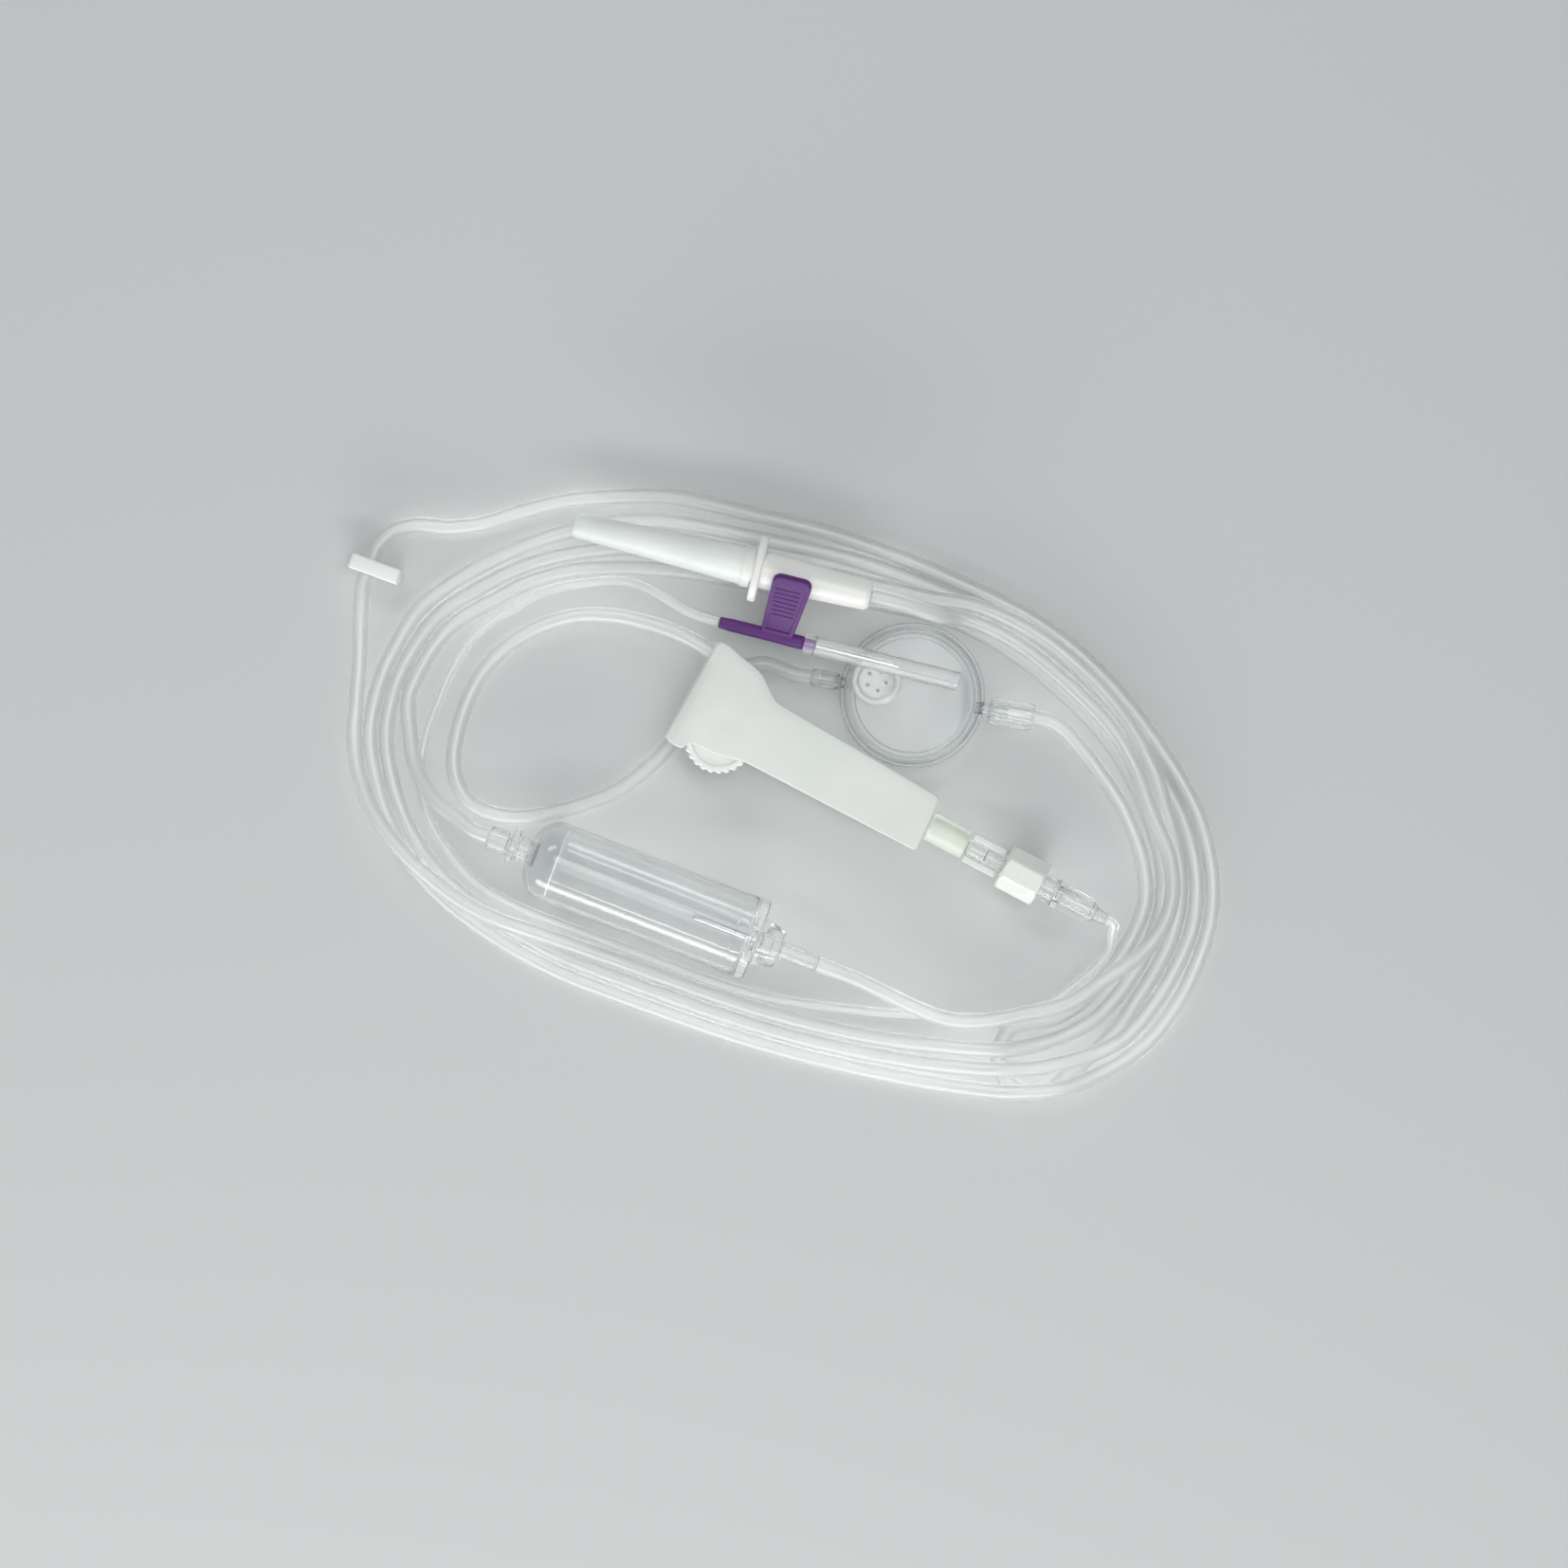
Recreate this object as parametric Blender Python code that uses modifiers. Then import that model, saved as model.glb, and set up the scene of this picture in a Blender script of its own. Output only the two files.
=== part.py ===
# Infusion set with winged needle, coiled up and lying flat on the floor.
# All sizes are metres, +Z is up and the floor is z = 0.

import math

import bmesh
import bpy
from mathutils import Euler, Matrix, Vector

# The layout is drawn about the picture's middle. This shift puts the middle
# of the solid pieces' box at the world origin.
SHIFT_X = 0.01695
SHIFT_Y = -0.0049

GAP = 0.0003

# Tubing
TUBE_DIAMETER = 0.0037
NEEDLE_TUBE_DIAMETER = 0.0021
TUBE_FLOOR_Z = 0.0020
COIL_HEIGHT = 0.0078
COIL_CORNER = 0.0014

# Spike, sheath and hub. Distances run along the axis from the sheath's tip.
SPIKE_AXIS_Z = 0.0129
SHEATH_LENGTH = 0.0431
SHEATH_TIP_RADIUS = 0.00285
SHEATH_MOUTH_RADIUS = 0.0049
SHEATH_WALL = 0.0008
FLANGE_LENGTH = 0.0020
FLANGE_WIDTH = 0.0156
FLANGE_HEIGHT = 0.0098
HUB_LENGTH = 0.0258
HUB_ROOT_RADIUS = 0.0044
HUB_TIP_RADIUS = 0.0036
SHAFT_TIP_RADIUS = 0.0014
SHAFT_ROOT_RADIUS = 0.0026
COLLAR_LENGTH = 0.0040
SPIKE_BORE_RADIUS = 0.0009

# Winged needle and its guard, along the axis from the body's tube end.
NEEDLE_AXIS_Z = 0.0102
WING_TILT_DEG = 34.0
WING_BODY_LENGTH = 0.0200
WING_BODY_RADIUS = 0.00150
NOSE_LENGTH = 0.0030
NOSE_RADIUS = 0.00135
WING_ROOT_WIDTH = 0.0075
WING_TIP_WIDTH = 0.0092
WING_REACH = 0.0165
WING_LEAN = 0.0008
WING_THICKNESS = 0.0009
WING_CENTRE = 0.0136
WING_CORNER = 0.0018
CANNULA_RADIUS = 0.00040
CANNULA_LENGTH = 0.0235
GUARD_LENGTH = 0.0370
GUARD_RADIUS = 0.0022
GUARD_WALL = 0.0005

# Disc filter
FILTER_RADIUS = 0.0170
FILTER_SHELL_HEIGHT = 0.0054
FILTER_FLOOR = 0.0012
FILTER_WALL = 0.0018
FILTER_LID_RADIUS = 0.0158
FILTER_LID_THICKNESS = 0.0011
FILTER_RIB_HEIGHT = 0.0015
MEMBRANE_THICKNESS = 0.0003
VENT_INSET = 0.0082
VENT_X = VENT_INSET - FILTER_RADIUS
VENT_Y = 0.0018
VENT_RADIUS = 0.0058
VENT_HEIGHT = 0.0009
INLET_PORT_Z = 0.0039
OUTLET_PORT_Z = 0.0024
PORT_STUB_LENGTH = 0.0045
INLET_SOCKET_RADIUS = 0.0033
INLET_SOCKET_LENGTH = 0.0107
INLET_SETBACK = 0.0009
OUTLET_SOCKET_RADIUS = 0.0022
OUTLET_SOCKET_LENGTH = 0.0065

# Roller clamp, lying on one side wall with its head raised
CLAMP_PITCH_DEG = 4.6
CLAMP_THICKNESS = 0.0124
CLAMP_WALL = 0.0013
CLAMP_LENGTH = 0.0639
HEAD_WALL = 0.0022
WHEEL_RADIUS = 0.0082
WHEEL_WIDTH = 0.0086
WHEEL_X = 0.0114
WHEEL_Y = 0.0055
WHEEL_RIBS = 26
AXLE_RADIUS = 0.0017
GROOVE_DEPTH = 0.0008
GROOVE_TRAVEL = 0.0400
GROOVE_SLOPE_DEG = 1.3

# Injection tube, luer connectors and lock nut, along one axis
CHAIN_AXIS_Z = 0.0060
INJECTION_RADIUS = 0.0034
INJECTION_LENGTH = 0.0098
LUER_BARREL_RADIUS = 0.0024
LUER_BARREL_LENGTH = 0.0092
GRIP_REACH = 0.0037
GRIP_LENGTH = 0.0087
GRIP_THICKNESS = 0.0030
NUT_RADIUS = 0.0057
NUT_BORE = 0.0043
NUT_LENGTH = 0.0098
NUT_SIDES = 8
LUER_TIP_RADIUS = 0.0019
FEMALE_RADIUS = 0.0037
FEMALE_HUB_RADIUS = 0.0024
FEMALE_LENGTH = 0.0221

# Drip chamber, along its axis from the outlet connector's tube end
CHAMBER_RADIUS = 0.0095
CHAMBER_WALL = 0.0010
CHAMBER_LENGTH = 0.0540
DOME_LENGTH = 0.0060
OUTLET_LENGTH = 0.0100
OUTLET_RADIUS = 0.0029
CAP_LENGTH = 0.0085
CAP_RADIUS = 0.0098
NOZZLE_RADIUS = 0.0020
NOZZLE_LENGTH = 0.0092
DROPPER_RADIUS = 0.0008
DROPPER_LENGTH = 0.0160

# Slide clamp
SLIDE_PLATE_LENGTH = 0.0122
SLIDE_PLATE_THICKNESS = 0.0036
SLIDE_PLATE_HEIGHT = 0.0076
SLIDE_HOLE_OFFSET = -0.00155
SLIDE_SLOT_END = 0.0047
SLIDE_SLOT_WIDTH = 0.0012

# Frames: x, y, z of the axis start, turn about Z and pitch about Y in degrees
SPIKE_TURN_DEG = 6.5
SHEATH_MOUTH_X = -0.025277
SHEATH_MOUTH_Y = 0.046279
SPIKE_FRAME = (SHEATH_MOUTH_X - SHEATH_LENGTH * math.cos(math.radians(SPIKE_TURN_DEG)),
               SHEATH_MOUTH_Y - SHEATH_LENGTH * math.sin(math.radians(SPIKE_TURN_DEG)),
               SPIKE_AXIS_Z, SPIKE_TURN_DEG, 0.0, 0.0)
NEEDLE_FRAME = (-0.0283, 0.0318, NEEDLE_AXIS_Z, 6.0, 0.0, 0.0)
WING_FRAME = (-0.0283, 0.0318, NEEDLE_AXIS_Z, 6.0, 0.0, WING_TILT_DEG)
# The filter's rim keeps its distance from the roller clamp's back.
FILTER_RIM_X = 0.01707
FILTER_RIM_Y = 0.014505
FILTER_FRAME = (FILTER_RIM_X + FILTER_RADIUS * math.sin(math.radians(8.9)),
                FILTER_RIM_Y + FILTER_RADIUS * math.cos(math.radians(8.9)), 0.0, 9.5, 0.0, 0.0)
CLAMP_RISE = CLAMP_LENGTH * math.sin(math.radians(CLAMP_PITCH_DEG))
CLAMP_FRAME = (-0.0318, 0.0029, CLAMP_RISE + 0.0001, -8.9, CLAMP_PITCH_DEG, 0.0)
CHAIN_FRAME = (0.0338, 0.0040, CHAIN_AXIS_Z, -7.9, 0.0, 0.0)
CHAMBER_FRAME = (-0.0615, -0.0333, CAP_RADIUS + 0.0001, -1.2, 0.0, 0.0)
SLIDE_FRAME = (-0.10805, 0.0162, SLIDE_PLATE_HEIGHT / 2 + 0.0001, 0.0, 0.0, 0.0)

# The coil's outer and inner outlines, seen from above
COIL_OUTER = [
    (-0.1013, -0.0236), (-0.1030, -0.0040), (-0.0998, 0.0147), (-0.0856, 0.0340),
    (-0.0678, 0.0500), (-0.0515, 0.0571), (-0.0291, 0.0605), (-0.0064, 0.0629),
    (0.0175, 0.0621), (0.0422, 0.0593), (0.0642, 0.0508), (0.0828, 0.0386),
    (0.0972, 0.0250), (0.1046, 0.0111), (0.1068, -0.0046), (0.1035, -0.0247),
    (0.0923, -0.0394), (0.0768, -0.0486), (0.0548, -0.0550), (0.0246, -0.0590),
    (-0.0113, -0.0600), (-0.0405, -0.0590), (-0.0659, -0.0535), (-0.0870, -0.0420),
]
COIL_INNER = [
    (-0.0820, -0.0157), (-0.0815, -0.0020), (-0.0795, 0.0085), (-0.0730, 0.0180),
    (-0.0640, 0.0265), (-0.0470, 0.0338), (-0.0250, 0.0390), (0.0005, 0.0455),
    (0.0229, 0.0493), (0.0454, 0.0450), (0.0633, 0.0352), (0.0766, 0.0212),
    (0.0845, 0.0022), (0.0765, -0.0208), (0.0633, -0.0318), (0.0450, -0.0375),
    (0.0309, -0.0410), (0.0080, -0.0448), (-0.0200, -0.0453), (-0.0500, -0.0452),
    (-0.0640, -0.0415), (-0.0755, -0.0330), (-0.0805, -0.0240),
]

# The clamp's side outline and the trough inside it: x along, y to its back
CLAMP_OUTLINE = [
    (0.0, 0.0), (0.0022, -0.0010), (0.0050, -0.0008), (0.0056, 0.0014),
    (0.0126, 0.0019), (0.0189, 0.0035), (0.0211, 0.0036), (0.0639, 0.0046),
    (0.0627, 0.0183), (0.0386, 0.0188), (0.0188, 0.0192), (0.0166, 0.0207),
    (0.0130, 0.0232), (0.0097, 0.0241), (0.0061, 0.0246), (0.0029, 0.0254),
    (0.0003, 0.0252),
]
TROUGH_BACK = [
    (0.0700, 0.0169), (0.0386, 0.0174), (0.0181, 0.0178), (0.0158, 0.0195),
    (0.0126, 0.0218), (0.0095, 0.0226), (0.0059, 0.0233), (HEAD_WALL, 0.0240),
]
TROUGH_TUBE = [
    (0.0030, 0.0220), (0.0080, 0.0203), (0.0130, 0.0177), (0.0180, 0.0154),
    (0.0240, 0.0149), (0.0340, 0.0148), (0.0450, 0.0142), (0.0560, 0.0130),
]
HEAD_HOLE_Y = 0.0222

# Colour, roughness, metallic and transmission of each material
MATERIALS = {
    "clear_plastic": ((0.86, 0.90, 0.91, 1.0), 0.12, 0.0, 0.85),
    "clear_tubing": ((0.88, 0.91, 0.90, 1.0), 0.22, 0.0, 0.70),
    "milky_plastic": ((0.84, 0.86, 0.84, 1.0), 0.42, 0.0, 0.20),
    "white_plastic": ((0.90, 0.91, 0.89, 1.0), 0.38, 0.0, 0.0),
    "soft_rubber": ((0.80, 0.82, 0.72, 1.0), 0.50, 0.0, 0.15),
    "violet_plastic": ((0.09, 0.02, 0.25, 1.0), 0.35, 0.0, 0.0),
    "steel": ((0.72, 0.73, 0.75, 1.0), 0.22, 1.0, 0.0),
    "membrane": ((0.95, 0.95, 0.93, 1.0), 0.75, 0.0, 0.0),
    "mesh": ((0.88, 0.90, 0.92, 1.0), 0.60, 0.0, 0.0),
}


def clear_scene():
    for item in list(bpy.data.objects):
        bpy.data.objects.remove(item, do_unlink=True)


def make_collections():
    kept = bpy.data.collections.new("iv_infusion_set")
    cutters = bpy.data.collections.new("cutters")
    bpy.context.scene.collection.children.link(kept)
    bpy.context.scene.collection.children.link(cutters)
    return kept, cutters


def make_material(piece, kind):
    colour, roughness, metallic, transmission = MATERIALS[kind]
    material = bpy.data.materials.new(piece + "_" + kind)
    material.use_nodes = True
    material.diffuse_color = colour
    shader = material.node_tree.nodes["Principled BSDF"]
    shader.inputs["Base Color"].default_value = colour
    shader.inputs["Roughness"].default_value = roughness
    shader.inputs["Metallic"].default_value = metallic
    shader.inputs["Transmission Weight"].default_value = transmission
    return material


def make_empty(name, frame, parent=None):
    x, y, z, turn, pitch, roll = frame
    empty = bpy.data.objects.new(name, None)
    empty.empty_display_size = 0.005
    empty.location = (x, y, z)
    empty.rotation_euler = Euler((math.radians(roll), math.radians(pitch), math.radians(turn)))
    KEPT.objects.link(empty)
    empty.parent = parent
    return empty


def place(frame, along, across=0.0, up=0.0):
    """A point given in a frame, in the layout's own coordinates."""
    x, y, z, turn, pitch, roll = frame
    angles = Euler((math.radians(roll), math.radians(pitch), math.radians(turn)))
    point = angles.to_matrix() @ Vector((along, across, up)) + Vector((x, y, z))
    return tuple(point)


def show_as_piece(item, kind, parent):
    item.data.materials.append(make_material(item.name, kind))
    KEPT.objects.link(item)
    item.parent = parent
    return item


def show_as_cutter(item, parent):
    CUTTERS.objects.link(item)
    item.parent = parent
    item.hide_render = True
    item.display_type = "WIRE"
    return item


def join_or_cut(piece, other, operation):
    modifier = piece.modifiers.new(other.name, "BOOLEAN")
    modifier.operation = operation
    modifier.solver = "EXACT"
    modifier.object = other


def mesh_object(name, mesh_maker):
    mesh = bpy.data.meshes.new(name)
    work = bmesh.new()
    mesh_maker(work)
    bmesh.ops.recalc_face_normals(work, faces=work.faces)
    work.to_mesh(mesh)
    work.free()
    return bpy.data.objects.new(name, mesh)


def lay_along_x(item):
    item.rotation_euler = (0.0, math.radians(90.0), 0.0)
    return item


def turned(name, profile, steps):
    """A turned piece from (distance along, radius) points, far end first."""
    mesh = bpy.data.meshes.new(name)
    points = [(radius, 0.0, along) for along, radius in profile]
    edges = [(i, i + 1) for i in range(len(points) - 1)]
    if profile[0][1] > 0.0:
        edges.append((len(points) - 1, 0))
    mesh.from_pydata(points, edges, [])
    item = bpy.data.objects.new(name, mesh)
    screw = item.modifiers.new("turn", "SCREW")
    screw.axis = "Z"
    screw.angle = math.radians(360.0)
    screw.steps = steps
    screw.render_steps = steps
    screw.use_smooth_shade = True
    screw.use_merge_vertices = True
    screw.merge_threshold = 0.00001
    return item


def rod(name, start, length, radius, sides=24):
    """A cylinder along local X from a start point."""
    def build(work):
        middle = Vector(start) + Vector((length / 2, 0.0, 0.0))
        matrix = Matrix.Translation(middle) @ Matrix.Rotation(math.radians(90.0), 4, "Y")
        bmesh.ops.create_cone(work, cap_ends=True, segments=sides, radius1=radius,
                              radius2=radius, depth=length, matrix=matrix)
    return mesh_object(name, build)


def disc(name, centre, height, radius, sides=24):
    """A cylinder along local Z standing on a centre point."""
    def build(work):
        matrix = Matrix.Translation(Vector(centre) + Vector((0.0, 0.0, height / 2)))
        bmesh.ops.create_cone(work, cap_ends=True, segments=sides, radius1=radius,
                              radius2=radius, depth=height, matrix=matrix)
    return mesh_object(name, build)


def block(name, low, high):
    def build(work):
        size = Vector(high) - Vector(low)
        middle = (Vector(high) + Vector(low)) / 2
        matrix = Matrix.Translation(middle) @ Matrix.Diagonal(size.to_4d())
        bmesh.ops.create_cube(work, size=1.0, matrix=matrix)
    return mesh_object(name, build)


def prism(name, outline, low, high):
    """An outline in the XY plane, made solid between two heights."""
    def build(work):
        bottom = [work.verts.new((x, y, low)) for x, y in outline]
        top = [work.verts.new((x, y, high)) for x, y in outline]
        work.faces.new(bottom)
        work.faces.new(top)
        count = len(outline)
        for i in range(count):
            j = (i + 1) % count
            work.faces.new((bottom[i], bottom[j], top[j], top[i]))
    return mesh_object(name, build)


def chamfer(item, width, angle=40.0, segments=1):
    modifier = item.modifiers.new("soft_edges", "BEVEL")
    modifier.width = width
    modifier.segments = segments
    modifier.limit_method = "ANGLE"
    modifier.angle_limit = math.radians(angle)
    return item


def smooth_route(points, spacing):
    """Points about one spacing apart on a smooth curve through a route."""
    route = [Vector(point) for point in points]
    route = [2 * route[0] - route[1]] + route + [2 * route[-1] - route[-2]]
    fine = []
    for i in range(1, len(route) - 2):
        before, start, end, after = route[i - 1:i + 3]
        for step in range(24):
            t = step / 24
            fine.append(0.5 * (2 * start + (end - before) * t
                               + (2 * before - 5 * start + 4 * end - after) * t * t
                               + (3 * start - before - 3 * end + after) * t ** 3))
    fine.append(route[-2])
    total = sum((b - a).length for a, b in zip(fine, fine[1:]))
    count = max(2, round(total / spacing))
    picked = [fine[0]]
    run = 0.0
    for a, b in zip(fine, fine[1:]):
        run += (b - a).length
        if run >= total * len(picked) / count and len(picked) < count:
            picked.append(b)
    picked.append(fine[-1])
    # A short straight length at both ends keeps the end faces square.
    first = fine[0] + (fine[1] - fine[0]).normalized() * spacing * 0.12
    last = fine[-1] - (fine[-1] - fine[-2]).normalized() * spacing * 0.12
    return picked[:1] + [first] + picked[1:-1] + [last] + picked[-1:]


def tube(name, points, diameter, parent):
    """One cord: a round solid along a smooth curve through route points."""
    curve = bpy.data.curves.new(name, "CURVE")
    curve.dimensions = "3D"
    curve.bevel_depth = diameter / 2
    curve.bevel_resolution = 2
    curve.use_fill_caps = True
    picked = smooth_route(points, 2.2 * diameter)
    spline = curve.splines.new("POLY")
    spline.points.add(len(picked) - 1)
    for spot, point in zip(spline.points, picked):
        spot.co = (*point, 1.0)
    item = bpy.data.objects.new(name, curve)
    return show_as_piece(item, "clear_tubing", parent)


def closed_curve(points, per_span=16):
    """A dense smooth closed outline through corner points."""
    dense = []
    count = len(points)
    for i in range(count):
        before, start, end, after = [Vector(points[(i + k) % count]) for k in (-1, 0, 1, 2)]
        for step in range(per_span):
            t = step / per_span
            dense.append(0.5 * (2 * start + (end - before) * t
                                + (2 * before - 5 * start + 4 * end - after) * t * t
                                + (3 * start - before - 3 * end + after) * t ** 3))
    return dense


def radius_at(outline, centre, angle):
    """How far out an outline lies from a centre, in one direction."""
    ray = Vector((math.cos(angle), math.sin(angle)))
    side = Vector((-ray.y, ray.x))
    for a, b in zip(outline, outline[1:] + outline[:1]):
        side_a = (a - centre).dot(side)
        side_b = (b - centre).dot(side)
        if side_a * side_b <= 0.0 and side_a != side_b:
            hit = a + (b - a) * (side_a / (side_a - side_b))
            reach = (hit - centre).dot(ray)
            if reach > 0.0:
                return reach
    return 0.0


def make_coil(parent):
    """The outer shape of all the wound turns, an oval ring with soft edges."""
    outer = closed_curve(COIL_OUTER)
    inner = closed_curve(COIL_INNER)
    centre = Vector((0.0020, 0.0020))
    count = 60

    def build(work):
        rings = []
        for k in range(count):
            angle = 2 * math.pi * k / count
            ray = Vector((math.cos(angle), math.sin(angle)))
            far = radius_at(outer, centre, angle)
            near = radius_at(inner, centre, angle)
            c = COIL_CORNER
            section = [(far, c), (far, COIL_HEIGHT - c), (far - c, COIL_HEIGHT),
                       (near + c, COIL_HEIGHT), (near, COIL_HEIGHT - c), (near, c),
                       (near + c, 0.0), (far - c, 0.0)]
            ring = []
            for reach, z in section:
                spot = centre + ray * reach
                ring.append(work.verts.new((spot.x, spot.y, z + 0.00005)))
            rings.append(ring)
        for k in range(count):
            a = rings[k]
            b = rings[(k + 1) % count]
            for i in range(8):
                j = (i + 1) % 8
                work.faces.new((a[i], b[i], b[j], a[j]))

    coil = mesh_object("tubing_coil", build)
    return show_as_piece(coil, "clear_tubing", parent)


def make_spike_sheath(frame):
    """A closed sleeve that tapers to a rounded tip."""
    tip = SHEATH_TIP_RADIUS
    mouth = SHEATH_MOUTH_RADIUS
    wall = SHEATH_WALL
    length = SHEATH_LENGTH
    profile = [
        (length, mouth), (length - 0.0020, mouth), (length - 0.0026, mouth - 0.0004),
        (0.0020, tip), (0.0008, tip * 0.82), (0.0002, tip * 0.5), (0.0, 0.0),
        (wall, 0.0), (0.0018, (tip - wall) * 0.7), (0.0040, tip - wall),
        (length - 0.0060, mouth - 0.0004 - wall), (length, mouth - 0.0004 - wall * 0.7),
    ]
    # The sleeve is one closed outline: its ends meet at the mouth.
    outer = profile[:7]
    inner = profile[7:]
    mesh_points = outer + inner
    sheath = turned_shell("spike_sheath", mesh_points, 28)
    lay_along_x(sheath)
    return show_as_piece(sheath, "milky_plastic", frame)


def turned_shell(name, profile, steps):
    """A turned cup: the outline starts and ends at the mouth and may touch the axis."""
    def build(work):
        rings = []
        for along, radius in profile:
            if radius == 0.0:
                rings.append([work.verts.new((0.0, 0.0, along))])
                continue
            ring = []
            for k in range(steps):
                angle = 2 * math.pi * k / steps
                ring.append(work.verts.new((radius * math.cos(angle), radius * math.sin(angle), along)))
            rings.append(ring)
        count = len(rings)
        for i in range(count):
            a = rings[i]
            b = rings[(i + 1) % count]
            if len(a) == 1 and len(b) == 1:
                continue
            for k in range(steps):
                m = (k + 1) % steps
                if len(a) == 1:
                    work.faces.new((a[0], b[k], b[m]))
                elif len(b) == 1:
                    work.faces.new((a[k], b[0], a[m]))
                else:
                    work.faces.new((a[k], b[k], b[m], a[m]))
        for face in work.faces:
            face.smooth = True
    return mesh_object(name, build)


def make_spike(frame):
    """Piercing shaft, oval finger flange and hub in one moulding."""
    flange_start = SHEATH_LENGTH + GAP
    flange_end = flange_start + FLANGE_LENGTH
    hub_end = flange_end + HUB_LENGTH
    collar = SHEATH_MOUTH_RADIUS - 0.0004 - SHEATH_WALL - GAP
    profile = [
        (hub_end, 0.0), (hub_end, HUB_TIP_RADIUS - 0.0010), (hub_end - 0.0005, HUB_TIP_RADIUS - 0.0003),
        (hub_end - 0.0012, HUB_TIP_RADIUS), (flange_start + 0.0005, HUB_ROOT_RADIUS),
        (flange_start + 0.0002, collar), (flange_start - COLLAR_LENGTH, collar - 0.0004),
        (flange_start - COLLAR_LENGTH - 0.0006, SHAFT_ROOT_RADIUS),
        (0.0120, SHAFT_TIP_RADIUS + 0.0003), (0.0045, SHAFT_TIP_RADIUS * 0.5), (0.0036, 0.0),
    ]
    spike = lay_along_x(turned("spike", profile, 28))
    flange = show_as_cutter(rod("spike_flange", (flange_start, 0.0, 0.0), FLANGE_LENGTH,
                                FLANGE_WIDTH / 2, 36), frame)
    flange.scale = (1.0, 1.0, FLANGE_HEIGHT / FLANGE_WIDTH)
    # The channels run from the hub's tube end out through the point's slope.
    fluid = show_as_cutter(rod("spike_fluid_channel", (0.0080, 0.0, 0.0), hub_end,
                               SPIKE_BORE_RADIUS, 12), frame)
    point = show_as_cutter(block("spike_point_cut", (0.0, -0.0040, 0.0006), (0.0110, 0.0040, 0.0040)),
                           frame)
    point.rotation_euler = (0.0, math.radians(-7.0), 0.0)
    # Cutters made in the frame's own axes need no turn of their own.
    join_or_cut(spike, flange, "UNION")
    join_or_cut(spike, point, "DIFFERENCE")
    join_or_cut(spike, fluid, "DIFFERENCE")
    return show_as_piece(spike, "white_plastic", frame)


def make_winged_hub(frame):
    """Violet body with both wings folded together to one side."""
    body = lay_along_x(turned("winged_hub", [
        (WING_BODY_LENGTH + NOSE_LENGTH, 0.0), (WING_BODY_LENGTH + NOSE_LENGTH, NOSE_RADIUS - 0.0003),
        (WING_BODY_LENGTH + NOSE_LENGTH - 0.0004, NOSE_RADIUS),
        (WING_BODY_LENGTH + 0.0001, NOSE_RADIUS), (WING_BODY_LENGTH, WING_BODY_RADIUS + 0.0001),
        (0.0030, WING_BODY_RADIUS), (0.0, WING_BODY_RADIUS - 0.0002), (0.0, 0.0),
    ], 20))
    for side, sign in (("upper", 1.0), ("lower", -1.0)):
        root = WING_ROOT_WIDTH / 2
        tip = WING_TIP_WIDTH / 2
        corner = WING_CORNER
        top = WING_CENTRE + WING_LEAN
        outline = [
            (WING_CENTRE - root, 0.0003), (WING_CENTRE + root, 0.0003),
            (top + tip, WING_REACH - corner), (top + tip - corner * 0.3, WING_REACH - corner * 0.3),
            (top + tip - corner, WING_REACH), (top - tip + corner, WING_REACH),
            (top - tip + corner * 0.3, WING_REACH - corner * 0.3), (top - tip, WING_REACH - corner),
        ]
        near = sign * GAP / 2
        far = sign * (GAP / 2 + WING_THICKNESS)
        wing = prism("wing_" + side, outline, min(near, far), max(near, far))
        show_as_cutter(wing, frame)
        join_or_cut(body, wing, "UNION")
    socket = show_as_cutter(rod("cannula_socket", (WING_BODY_LENGTH - 0.0010, 0.0, 0.0),
                                0.0080, CANNULA_RADIUS + GAP, 16), frame)
    join_or_cut(body, socket, "DIFFERENCE")
    return show_as_piece(body, "violet_plastic", frame)


def make_cannula(frame):
    """Hollow steel needle with its slanted point."""
    start = WING_BODY_LENGTH - 0.0010 + GAP
    end = start + CANNULA_LENGTH
    bore = CANNULA_RADIUS * 0.5
    cannula = lay_along_x(turned("cannula", [
        (end, CANNULA_RADIUS), (start, CANNULA_RADIUS), (start, bore), (end, bore),
    ], 16))
    cut = show_as_cutter(block("needle_point_cut", (-0.0030, -0.0030, 0.0), (0.0060, 0.0030, 0.0030)),
                         frame)
    cut.location = (end - 0.0008, 0.0, 0.0)
    cut.rotation_euler = (0.0, math.radians(20.0), 0.0)
    join_or_cut(cannula, cut, "DIFFERENCE")
    return show_as_piece(cannula, "steel", frame)


def make_needle_guard(frame):
    start = WING_BODY_LENGTH + GAP
    end = start + GUARD_LENGTH
    inner = GUARD_RADIUS - GUARD_WALL
    guard = lay_along_x(turned("needle_guard", [
        (end, GUARD_RADIUS - 0.0002), (end - 0.0003, GUARD_RADIUS),
        (start, GUARD_RADIUS), (start, inner), (end, inner),
    ], 24))
    return show_as_piece(guard, "clear_plastic", frame)


def port_stub(name, frame, side, height, radius):
    """A short tube on the filter's rim, to be joined to the shell."""
    start = FILTER_RADIUS - 0.0008
    length = PORT_STUB_LENGTH + 0.0008
    x = start if side > 0 else -(start + length)
    return show_as_cutter(rod(name, (x, 0.0, height), length, radius, 20), frame)


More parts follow.
